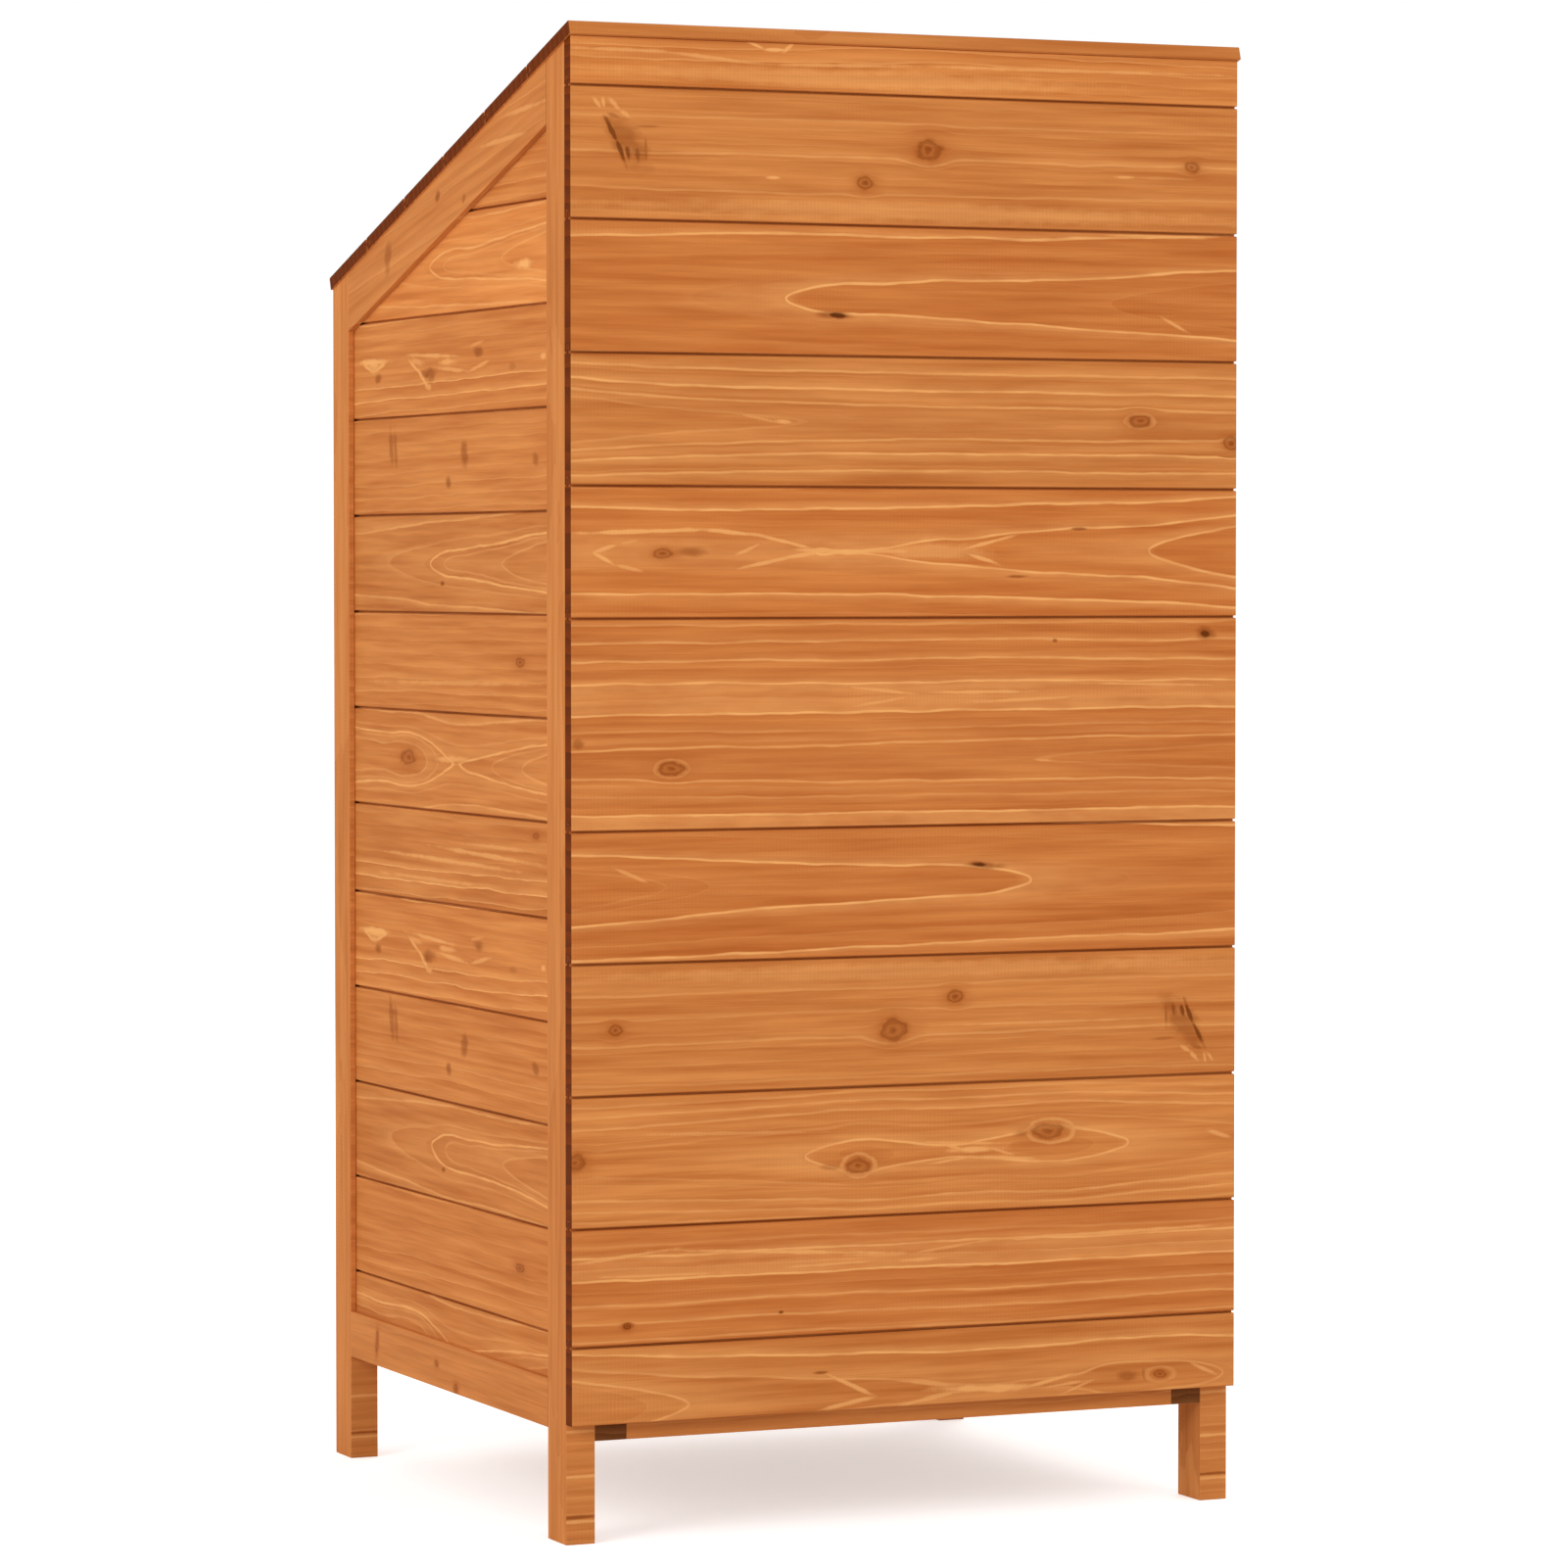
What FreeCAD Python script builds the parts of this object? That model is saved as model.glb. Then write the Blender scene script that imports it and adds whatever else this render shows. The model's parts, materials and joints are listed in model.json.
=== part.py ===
import FreeCAD, Part
import math
import os
import Sketcher
from collections import namedtuple

# A garden storage cabinet of stained fir on four legs.
# Two framed sides, a boarded back, a roof that falls from the back to the front, a boarded floor,
# two shelves, and one framed door on two butt hinges that a slide bolt keeps shut.
# The frame: +Z up, the door faces -Y, +X is on the right of someone who faces the door.
# The origin lies on the ground, in the middle of the whole outline. Lengths are in millimetres.

SIZES = (
    # The whole cabinet
    ("cabinet_width", 550.0),  # over the back boards and over the two side frames
    ("cabinet_depth", 520.0),  # back boards' outer face to the front posts' front face
    ("rear_height", 1120.0),  # ground to the roof's upper rear edge
    ("roof_pitch", 17.4),  # degrees
    # Frame stock: posts, rails and door stiles
    ("stock_thick", 23.0),
    ("stock_width", 36.5),
    ("side_rail_foot", 83.0),  # ground to the underside of the side and front bottom rails
    ("slant_rail_width", 44.5),  # the sloping top rail of a side, square to its length
    ("lintel_height", 38.5),  # the rail over the door, at its front face
    ("tenon_thick", 8.0),
    ("tenon_shoulder", 6.0),  # how much narrower than its rail a tenon is, at each edge
    ("mortise_depth", 15.0),
    ("tenon_play", 0.1),  # between a tenon and each wall of its mortise
    # Boards that fill the side frames and the door
    ("panel_thick", 12.0),
    ("panel_recess", 5.0),  # frame's face to the boards' face
    ("first_board", 33.0),  # bottom rail to the lowest seam of a side
    ("board_pitch", 77.0),
    ("narrow_board", 71.5),
    ("groove_depth", 6.0),
    ("groove_play", 0.2),  # between a board and each wall of its groove
    ("end_play", 1.0),  # between a board's or tenon's end and the bottom of its groove or mortise
    # Boards of the back, from the lowest
    ("back_thick", 12.0),
    ("back_foot", 89.5),  # ground to the lowest board
    ("foot_board", 57.5),
    ("low_board", 87.5),
    ("back_pitch", 97.5),
    ("wide_board", 156.5),
    # Every tongued joint
    ("seam", 1.8),  # open joint between two faces
    ("arris", 0.7),  # planed corner of a board's face
    ("tongue_reach", 4.5),  # how far a tongue lies inside its groove
    ("tongue_play", 0.2),  # between a tongue and each wall of its groove
    ("least_board", 15.0),  # no strip of a board is narrower
    # Roof
    ("roof_thick", 10.0),
    ("roof_side_overhang", 1.5),
    ("roof_front_overhang", 4.0),
    ("roof_board_pitch", 92.0),
    ("felt_thick", 1.2),
    ("felt_margin", 8.0),  # felt's edge to the roof's edge
    # Floor and shelves
    ("bearer_width", 25.0),
    ("bearer_height", 31.5),
    ("bearer_foot", 76.0),
    ("floor_thick", 12.0),
    ("floor_pitch", 97.0),
    ("floor_gap", 1.5),  # front rails' back to the floor and the battens
    ("lower_shelf_top", 392.0),
    ("upper_shelf_top", 656.0),
    ("shelf_thick", 12.0),
    ("shelf_setback", 30.0),  # shelf's front edge to the front posts' front face
    ("shelf_slat_gap", 6.0),
    ("batten_width", 20.0),
    ("batten_height", 25.0),
    ("side_play", 0.5),  # between a shelf or the floor and the posts
    # Door
    ("door_gap", 3.0),
    ("door_thick", 22.0),
    ("stop_length", 300.0),
    ("stop_thick", 12.0),
    ("stop_height", 34.0),
    ("stop_lap", 12.0),  # how far the stop reaches down behind the door
    # Hinges
    ("leaf_height", 60.0),
    ("leaf_width", 18.0),
    ("leaf_thick", 1.5),
    ("barrel_radius", 3.0),
    ("hinge_pin_radius", 1.4),
    ("pin_play", 0.05),  # between the pin and its knuckles
    ("knuckle_gap", 0.4),
    ("pin_head_radius", 2.6),
    ("pin_head_thick", 1.2),
    ("hinge_end_distance", 95.0),  # a hinge's middle to the door's top or bottom edge
    # Slide bolt
    ("bolt_height", 520.0),
    ("bolt_radius", 4.0),
    ("bolt_travel", 16.0),
    ("bolt_play", 0.3),  # between the bolt and what it slides in or passes
    ("keeper_play", 1.0),  # between the bolt and the keeper's strap
    ("bolt_end_gap", 0.6),  # bolt's drawn end to the door's edge
    ("strap_thick", 1.5),
    ("strap_width", 5.0),
    ("strap_inset", 2.0),  # a strap to the plate's end
    ("plate_thick", 1.5),
    ("plate_height", 34.0),
    ("keeper_inset", 1.0),  # keeper to the post's inner edge
    ("keeper_width", 17.0),
    ("keeper_strap_width", 8.0),
    ("knob_radius", 5.2),
    ("knob_length", 9.0),
    ("knob_stem_radius", 2.0),
    ("knob_stem_length", 4.0),
    ("knob_seat", 3.0),  # how deep the stem sits in the bolt
    # Screw holes of the ironwork
    ("screw_hole_radius", 1.9),
    ("screw_head_radius", 3.4),
)

PLACES = (
    ("half_width", "Sizes.cabinet_width / 2"),
    ("rise", "tan(Sizes.roof_pitch)"),
    # Plan
    ("bolt_reach", "Sizes.plate_thick + Sizes.bolt_play + Sizes.bolt_radius"),
    ("knob_reach", "bolt_reach + Sizes.bolt_radius + Sizes.knob_stem_length + Sizes.knob_length"),
    ("rear_reach", "Sizes.roof_thick * sin(Sizes.roof_pitch)"),
    ("front_reach", "max(knob_reach; Sizes.roof_front_overhang)"),
    ("rear_y", "(Sizes.cabinet_depth + front_reach - rear_reach) / 2"),
    ("front_y", "rear_y - Sizes.cabinet_depth"),
    ("frame_rear_y", "rear_y - Sizes.back_thick"),
    ("rear_post_y", "frame_rear_y - Sizes.stock_width"),
    ("front_post_y", "front_y + Sizes.stock_width"),
    ("rail_back_y", "front_y + Sizes.stock_thick"),
    ("rear_rail_y", "frame_rear_y - Sizes.stock_thick"),
    ("post_inner_x", "half_width - Sizes.stock_thick"),
    ("bearer_inner_x", "post_inner_x - Sizes.bearer_width"),
    ("fill_half_width", "post_inner_x - Sizes.side_play"),
    # Heights
    ("rail_top_z", "Sizes.side_rail_foot + Sizes.stock_width"),
    ("soffit_rear_z", "Sizes.rear_height - Sizes.roof_thick / cos(Sizes.roof_pitch)"),
    ("slant_drop", "Sizes.slant_rail_width / cos(Sizes.roof_pitch)"),
    ("slant_groove", "Sizes.groove_depth / cos(Sizes.roof_pitch)"),
    ("slant_lap", "(Sizes.groove_depth - Sizes.end_play) / cos(Sizes.roof_pitch)"),
    ("bearer_top_z", "Sizes.bearer_foot + Sizes.bearer_height"),
    ("floor_top_z", "bearer_top_z + Sizes.floor_thick"),
    ("lintel_foot_z", "soffit_rear_z - Sizes.cabinet_depth * rise - Sizes.lintel_height"),
    # Grooves and tongues
    ("lap", "Sizes.groove_depth - Sizes.end_play"),
    ("groove_width", "Sizes.panel_thick + 2 * Sizes.groove_play"),
    # Roof, along its slope
    ("roof_length", "(Sizes.cabinet_depth + Sizes.roof_front_overhang) / cos(Sizes.roof_pitch)"),
    ("roof_half_width", "half_width + Sizes.roof_side_overhang"),
    # Door
    ("door_half_width", "post_inner_x - Sizes.door_gap"),
    ("door_foot_z", "rail_top_z + Sizes.door_gap"),
    ("door_head_z", "lintel_foot_z - Sizes.door_gap"),
    ("stile_inner_x", "door_half_width - Sizes.stock_width"),
    ("door_back_y", "front_y + Sizes.door_thick"),
    # Hinge axis
    ("hinge_x", "-(post_inner_x - Sizes.door_gap / 2)"),
    ("hinge_y", "front_y - Sizes.barrel_radius"),
    ("lower_hinge_z", "door_foot_z + Sizes.hinge_end_distance"),
    ("upper_hinge_z", "door_head_z - Sizes.hinge_end_distance"),
    # Slide bolt
    ("bolt_y", "front_y - bolt_reach"),
    ("plate_front_y", "front_y - Sizes.plate_thick"),
    ("plate_right_x", "door_half_width - Sizes.strap_inset"),
    ("right_strap_x", "plate_right_x - Sizes.strap_inset - Sizes.strap_width"),
    ("strap_clear", "Sizes.bolt_travel + 2 * Sizes.knob_stem_radius + 2 * Sizes.bolt_play"),
    ("left_strap_x", "right_strap_x - strap_clear - Sizes.strap_width"),
    ("plate_left_x", "left_strap_x - Sizes.strap_inset"),
    ("knob_x", "left_strap_x + Sizes.strap_width + Sizes.bolt_play + Sizes.knob_stem_radius"),
    ("bolt_tip_x", "door_half_width - Sizes.bolt_end_gap"),
    ("bolt_tail_x", "left_strap_x - Sizes.bolt_travel - Sizes.strap_inset"),
    ("keeper_left_x", "post_inner_x + Sizes.keeper_inset"),
    ("keeper_right_x", "keeper_left_x + Sizes.keeper_width"),
    ("keeper_strap_x", "(keeper_left_x + keeper_right_x - Sizes.keeper_strap_width) / 2"),
)

doc = FreeCAD.newDocument("GardenCabinet")
nodes = []


def fill_sheet(name, rows):
    """Puts each value in a cell that has its name as the alias."""
    sheet = doc.addObject("Spreadsheet::Sheet", name)
    for row, (alias, content) in enumerate(rows, start=1):
        cell = "A%d" % row
        sheet.set(cell, "=" + content if isinstance(content, str) else str(content))
        sheet.setAlias(cell, alias)
    doc.recompute()
    return sheet


fill_sheet("Sizes", SIZES)
places = fill_sheet("Places", PLACES)


def value(expression):
    """The number that an expression gives now."""
    return float(places.evalExpression(expression))


# Bodies, sketches and features

X_AXIS = FreeCAD.Vector(1, 0, 0)


def new_body(label, x="0", y="0", z="0", pitch=None):
    """An empty body at a point, turned about X where a pitch is given."""
    body = doc.addObject("PartDesign::Body", label)
    body.Label = label
    if pitch is not None:
        body.Placement = FreeCAD.Placement(FreeCAD.Vector(), FreeCAD.Rotation(X_AXIS, value(pitch)))
        body.setExpression("Placement.Rotation.Angle", pitch)
    for direction, expression in (("x", x), ("y", y), ("z", z)):
        body.setExpression("Placement.Base." + direction, expression)
    return body


def finish(body):
    """Lists a piece for the output under its own label."""
    nodes.append(body)
    return body


def new_sketch(body, plane, offset):
    """An empty sketch on one of the body's own planes, moved along that plane's normal."""
    sketch = body.newObject("Sketcher::SketchObject", body.Label + "_sketch")
    base = next(item for item in body.Origin.OriginFeatures if item.Role == plane)
    sketch.AttachmentSupport = [(base, "")]
    sketch.MapMode = "FlatFace"
    sketch.setExpression("AttachmentOffset.Base.z", offset)
    return sketch


def tie_point(sketch, line, end, x, y):
    """Fixes a drawn point at two expressions from the sketch's origin."""
    for kind, expression in (("DistanceX", x), ("DistanceY", y)):
        rule = Sketcher.Constraint(kind, -1, 1, line, end, value(expression))
        index = sketch.addConstraint(rule)
        sketch.setExpression("Constraints[%d]" % index, expression)


def outline(body, plane, corners, offset="0"):
    """A closed outline through corners, which are pairs of expressions."""
    sketch = new_sketch(body, plane, offset)
    points = [FreeCAD.Vector(value(x), value(y), 0) for x, y in corners]
    count = len(points)
    for index in range(count):
        sketch.addGeometry(Part.LineSegment(points[index], points[(index + 1) % count]))
    for index in range(count):
        following = (index + 1) % count
        sketch.addConstraint(Sketcher.Constraint("Coincident", index, 2, following, 1))
    for index, (x, y) in enumerate(corners):
        tie_point(sketch, index, 1, x, y)
    return sketch


def circles(body, plane, centres, radius, offset="0"):
    """Circles of one radius round centres, which are pairs of expressions."""
    sketch = new_sketch(body, plane, offset)
    normal = FreeCAD.Vector(0, 0, 1)
    for index, (x, y) in enumerate(centres):
        centre = FreeCAD.Vector(value(x), value(y), 0)
        sketch.addGeometry(Part.Circle(centre, normal, value(radius)))
        tie_point(sketch, index, 3, x, y)
        rule = sketch.addConstraint(Sketcher.Constraint("Radius", index, value(radius)))
        sketch.setExpression("Constraints[%d]" % rule, radius)
    return sketch


def rectangle(x_low, x_high, y_low, y_high):
    return [(x_low, y_low), (x_high, y_low), (x_high, y_high), (x_low, y_high)]


def pad(body, sketch, length, midplane=False):
    """Raises a sketch along its normal, or to both sides of it."""
    feature = body.newObject("PartDesign::Pad", body.Label + "_pad")
    feature.Profile = sketch
    feature.Midplane = midplane
    feature.setExpression("Length", length)
    return feature


def pocket(body, sketch, depth):
    """Cuts a sketch into the body, against the sketch's normal."""
    feature = body.newObject("PartDesign::Pocket", body.Label + "_pocket")
    feature.Profile = sketch
    feature.setExpression("Length", depth)
    return feature


def revolve(body, sketch, axis):
    """Turns a sketch once round one of its own axes."""
    feature = body.newObject("PartDesign::Revolution", body.Label + "_turned")
    feature.Profile = sketch
    feature.ReferenceAxis = (sketch, [axis])
    feature.Angle = 360.0
    return feature


def crossbar(label, corners, half_length):
    """A bar of a drawn section that runs from side to side, as far to the left as to the right."""
    body = new_body(label)
    pad(body, outline(body, "YZ_Plane", corners), "2 * (%s)" % half_length, True)
    return body


def group(label, members, tool=None):
    """Separate solids under one name, cut by a tool if there is one."""
    compound = doc.addObject("Part::Compound", label + "_set")
    compound.Links = members
    if tool is not None:
        cut = doc.addObject("Part::Cut", label + "_cut")
        cut.Base = compound
        cut.Tool = tool
        compound = cut
    compound.Label = label
    return finish(compound)


# Lines parallel to the roof


def soffit(y):
    """Height of the roof's underside at a place along Y."""
    return "(Places.soffit_rear_z - (Places.rear_y - (%s)) * Places.rise)" % y


def slope_band(y_low, y_high, upper_drop, lower_drop):
    """A band with upright ends between two drops below the roof's underside."""
    return [
        (y_low, "%s - %s" % (soffit(y_low), lower_drop)),
        (y_high, "%s - %s" % (soffit(y_high), lower_drop)),
        (y_high, "%s - %s" % (soffit(y_high), upper_drop)),
        (y_low, "%s - %s" % (soffit(y_low), upper_drop)),
    ]


# Frames of the two sides

# frame_x is the low face of a side's frame, panel_x the low face of its boards from there,
# face_x the boards' outer face, and inward the sign of the way from it into the cabinet.
Side = namedtuple("Side", "frame_x panel_x face_x inward")
SIDES = {
    "right": Side(
        "Places.post_inner_x",
        "Sizes.stock_thick - Sizes.panel_recess - Sizes.panel_thick",
        "Places.half_width - Sizes.panel_recess",
        "-",
    ),
    "left": Side(
        "-Places.half_width",
        "Sizes.panel_recess",
        "-Places.half_width + Sizes.panel_recess",
        "+",
    ),
}


def cut_groove(body, side, corners):
    """A groove for the boards of a side, as wide as they are with play."""
    high_wall = "%s + Sizes.panel_thick + Sizes.groove_play" % SIDES[side].panel_x
    pocket(body, outline(body, "YZ_Plane", corners, high_wall), "Places.groove_width")


# Tenons of the rails that run from side to side: middle in Y, middle in Z and full height
Tenon = namedtuple("Tenon", "y z height")
FRONT_TENON_Y = "(Places.front_y + Places.rail_back_y) / 2"
REAR_TENON_Y = "(Places.rear_rail_y + Places.frame_rear_y) / 2"
TENONS = {
    "front_bottom_rail": Tenon(
        FRONT_TENON_Y,
        "(Sizes.side_rail_foot + Places.rail_top_z) / 2",
        "(Sizes.stock_width - 2 * Sizes.tenon_shoulder)",
    ),
    "lintel": Tenon(
        FRONT_TENON_Y,
        "(Places.lintel_foot_z + Sizes.lintel_height / 2)",
        "(Sizes.lintel_height - 2 * Sizes.tenon_shoulder)",
    ),
    "rear_top_rail": Tenon(
        REAR_TENON_Y,
        "(%s - Sizes.stock_width / 2)" % soffit(REAR_TENON_Y),
        "(Sizes.stock_width - 2 * Sizes.tenon_shoulder)",
    ),
    "rear_bottom_rail": Tenon(
        REAR_TENON_Y,
        "(Sizes.bearer_foot + Sizes.bearer_height / 2)",
        "(Sizes.bearer_height - 2 * Sizes.tenon_shoulder)",
    ),
}


def tenon_outline(body, name, play, offset="0"):
    """A tenon's section, or its mortise's where there is play round it."""
    tenon = TENONS[name]
    half_thick = "(Sizes.tenon_thick / 2 + %s)" % play
    half_height = "(%s / 2 + %s)" % (tenon.height, play)
    corners = rectangle(
        "%s - %s" % (tenon.y, half_thick),
        "%s + %s" % (tenon.y, half_thick),
        "%s - %s" % (tenon.z, half_height),
        "%s + %s" % (tenon.z, half_height),
    )
    return outline(body, "YZ_Plane", corners, offset)


def add_tenons(body, name, half_length):
    """Tenons on both ends of a rail that runs from side to side."""
    reach = "2 * (%s + Sizes.mortise_depth - Sizes.end_play)" % half_length
    pad(body, tenon_outline(body, name, "0"), reach, True)


def cut_mortise(body, side, name, thick):
    """A mortise in the face of a piece that looks into the cabinet."""
    mouth = "Sizes.mortise_depth" if side == "right" else thick
    pocket(body, tenon_outline(body, name, "Sizes.tenon_play", mouth), "Sizes.mortise_depth")


def make_post(side, end, y_low, y_high, groove_low, groove_high, rails):
    """A post that is also a leg, with a stopped groove for the boards and its top cut to the roof."""
    body = new_body("%s_post_%s" % (end, side), x=SIDES[side].frame_x)
    corners = [(y_low, "0"), (y_high, "0"), (y_high, soffit(y_high)), (y_low, soffit(y_low))]
    pad(body, outline(body, "YZ_Plane", corners), "Sizes.stock_thick")
    groove_foot = "Sizes.side_rail_foot + Sizes.tenon_shoulder - Sizes.groove_play"
    cut_groove(body, side, rectangle(groove_low, groove_high, groove_foot, "Sizes.rear_height"))
    for name in rails:
        cut_mortise(body, side, name, "Sizes.stock_thick")
    finish(body)


def make_side_rail(side, name, shape, tenon, groove):
    """A rail between the posts of a side, with stub tenons in their grooves and its own groove."""
    body = new_body("side_%s_rail_%s" % (name, side), x=SIDES[side].frame_x)
    pad(body, outline(body, "YZ_Plane", shape), "Sizes.stock_thick")
    pad(body, outline(body, "YZ_Plane", tenon, SIDES[side].panel_x), "Sizes.panel_thick")
    cut_groove(body, side, groove)
    finish(body)


def make_side_frame(side):
    """Two posts, the level bottom rail and the sloping top rail."""
    front, rear = "Places.front_post_y", "Places.rear_post_y"
    front_root, rear_root = front + " - Sizes.groove_depth", rear + " + Sizes.groove_depth"
    front_rails = ("front_bottom_rail", "lintel")
    make_post(side, "front", "Places.front_y", front, front_root, front, front_rails)
    make_post(side, "rear", rear, "Places.frame_rear_y", rear, rear_root, ("rear_top_rail",))

    tenon_front, tenon_rear = front + " - Places.lap", rear + " + Places.lap"
    foot, top = "Sizes.side_rail_foot", "Places.rail_top_z"
    groove_foot = top + " - Sizes.groove_depth"
    make_side_rail(
        side,
        "bottom",
        rectangle(front, rear, foot, top),
        rectangle(tenon_front, tenon_rear, foot + " + Sizes.tenon_shoulder", groove_foot),
        rectangle(front, rear, groove_foot, top),
    )
    drop = "Places.slant_drop"
    groove_drop = "(Places.slant_drop - Places.slant_groove)"
    make_side_rail(
        side,
        "top",
        slope_band(front, rear, "0", drop),
        slope_band(tenon_front, tenon_rear, "0", groove_drop),
        slope_band(front, rear, groove_drop, drop),
    )


# Tongued boards


def board_section(face, inward, thick, foot, head, grooved, tongued, head_fall="0"):
    """A board's section as (depth, height) pairs, with a groove in its foot and a tongue on its head.

    face is where the board's face lies and inward the sign of the way to its back. head_fall is
    how much a plain head drops for each millimetre of depth, for a board that meets the roof.
    """

    def at(depth):
        return "%s %s (%s)" % (face, inward, depth)

    low = foot + " + Sizes.seam / 2" if grooved else foot
    high = head + " - Sizes.seam / 2" if tongued else head
    tongue_front, tongue_back = "(%s) / 3" % thick, "2 * (%s) / 3" % thick
    corners = [
        (at("Sizes.arris"), low),
        (at("0"), low + " + Sizes.arris"),
        (at("0"), high + " - Sizes.arris"),
        (at("Sizes.arris"), "%s - Sizes.arris * %s" % (high, head_fall)),
    ]
    if tongued:
        tip = high + " + Sizes.seam + Sizes.tongue_reach"
        corners += [
            (at(tongue_front), high),
            (at(tongue_front), tip),
            (at(tongue_back), tip),
            (at(tongue_back), high),
        ]
    corners += [(at(thick), "%s - (%s) * %s" % (high, thick, head_fall)), (at(thick), low)]
    if grooved:
        root = low + " + Sizes.tongue_reach + Sizes.end_play"
        front = tongue_front + " - Sizes.tongue_play"
        back = tongue_back + " + Sizes.tongue_play"
        corners += [(at(back), low), (at(back), root), (at(front), root), (at(front), low)]
    return corners


def turned_over(corners):
    """The same section for boards that lie flat."""
    return [(height, depth) for depth, height in corners]


def side_widths():
    """Widths of the boards of a side, upwards from its bottom rail."""
    yield "Sizes.first_board"
    for _ in range(4):
        yield "Sizes.board_pitch"
    yield "Sizes.narrow_board"
    yield from even_widths("Sizes.board_pitch")


def back_widths():
    """Widths of the boards of the back, upwards from the lowest."""
    yield "Sizes.foot_board"
    yield "Sizes.low_board"
    for _ in range(3):
        yield "Sizes.back_pitch"
    yield "Sizes.wide_board"
    yield from even_widths("Sizes.back_pitch")


def even_widths(pitch):
    while True:
        yield pitch


def boards_between(low, high, widths, start=None):
    """Foot, head, grooved and tongued for each board that fits between two edges.

    The courses are counted from start, which is the low edge unless another is given.
    """
    edges = [low]
    seam = start or low
    for width in widths:
        seam = "%s + %s" % (seam, width)
        if value(seam) > value(high) - value("Sizes.least_board"):
            break
        if value(seam) > value(low) + value("Sizes.least_board"):
            edges.append(seam)
    edges.append(high)
    last = len(edges) - 2
    for index in range(last + 1):
        yield edges[index], edges[index + 1], index > 0, index < last


def make_side_boards(side, roof_line):
    """Boards in the grooves of a side frame, the upper ones cut under the sloping rail."""
    low = "Places.rail_top_z - Places.lap"
    rear = "Places.rear_post_y + Places.lap"
    high = "%s - Places.slant_drop + Places.slant_lap" % soffit(rear)
    length = "Places.rear_post_y - Places.front_post_y + 2 * Places.lap"
    facing = SIDES[side]
    boards = []
    for limits in boards_between(low, high, side_widths(), "Places.rail_top_z"):
        body = new_body("side_board_" + side, y=rear)
        section = board_section(facing.face_x, facing.inward, "Sizes.panel_thick", *limits)
        pad(body, outline(body, "XZ_Plane", section), length)
        boards.append(body)
    group("side_boards_" + side, boards, roof_line)


def make_roof_line():
    """The space above the side boards, which cuts them parallel to the roof."""
    low, high = "Places.front_y", "Places.rear_y"
    corners = slope_band(low, high, "0", "(Places.slant_drop - Places.slant_lap)")[:2]
    corners += [(high, "2 * Sizes.rear_height"), (low, "2 * Sizes.rear_height")]
    return crossbar("space_over_side_boards", corners, "Sizes.cabinet_width")


def make_back_boards():
    """Boards over both rear posts, the highest planed to the roof's slope."""
    low, high = "Sizes.back_foot", soffit("Places.rear_y")
    for number, limits in enumerate(boards_between(low, high, back_widths()), start=1):
        fall = "0" if limits[3] else "Places.rise"
        section = board_section("Places.rear_y", "-", "Sizes.back_thick", *limits, head_fall=fall)
        finish(crossbar("back_board_%02d" % number, section, "Places.half_width"))


# Rails from side to side, floor and shelves


def make_cross_rails():
    """The four rails that join the two sides: two at the front, two at the back."""
    front, front_back = "Places.front_y", "Places.rail_back_y"
    rear_front, rear = "Places.rear_rail_y", "Places.frame_rear_y"
    lintel_foot = "Places.lintel_foot_z"
    half = {name: "Places.post_inner_x" for name in TENONS}
    half["rear_bottom_rail"] = "Places.bearer_inner_x"
    sections = {
        "front_bottom_rail": rectangle(front, front_back, "Sizes.side_rail_foot", "Places.rail_top_z"),
        "lintel": [
            (front, lintel_foot),
            (front_back, lintel_foot),
            (front_back, soffit(front_back)),
            (front, soffit(front)),
        ],
        "rear_top_rail": slope_band(rear_front, rear, "0", "Sizes.stock_width"),
        "rear_bottom_rail": rectangle(rear_front, rear, "Sizes.bearer_foot", "Places.bearer_top_z"),
    }
    for name, section in sections.items():
        body = crossbar(name, section, half[name])
        add_tenons(body, name, half[name])
        finish(body)


def inside_bar(label, side, width, y_low, foot, head):
    """A bar along the inside of a side's frame, back to the boards of the back."""
    x = "Places.post_inner_x - " + width if side == "right" else "-Places.post_inner_x"
    body = new_body(label, x=x)
    section = rectangle(y_low, "Places.frame_rear_y", foot, head)
    pad(body, outline(body, "YZ_Plane", section), width)
    return finish(body)


def make_bearers_and_battens():
    """Bearers under the floor and battens under the shelves."""
    for side in SIDES:
        bearer = inside_bar(
            "floor_bearer_" + side,
            side,
            "Sizes.bearer_width",
            "Places.rail_back_y",
            "Sizes.bearer_foot",
            "Places.bearer_top_z",
        )
        cut_mortise(bearer, side, "rear_bottom_rail", "Sizes.bearer_width")
        for level in ("lower", "upper"):
            head = "Sizes.%s_shelf_top - Sizes.shelf_thick" % level
            inside_bar(
                "%s_shelf_batten_%s" % (level, side),
                side,
                "Sizes.batten_width",
                "Places.rail_back_y + Sizes.floor_gap",
                head + " - Sizes.batten_height",
                head,
            )


def make_floor():
    """Tongued floor boards on the bearers."""
    low, high = "Places.rail_back_y + Sizes.floor_gap", "Places.frame_rear_y"
    boards = []
    for limits in boards_between(low, high, even_widths("Sizes.floor_pitch")):
        section = board_section("Places.floor_top_z", "-", "Sizes.floor_thick", *limits)
        boards.append(crossbar("floor_board", turned_over(section), "Places.fill_half_width"))
    group("floor_boards", boards)


SHELF_SLATS = 5


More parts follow.
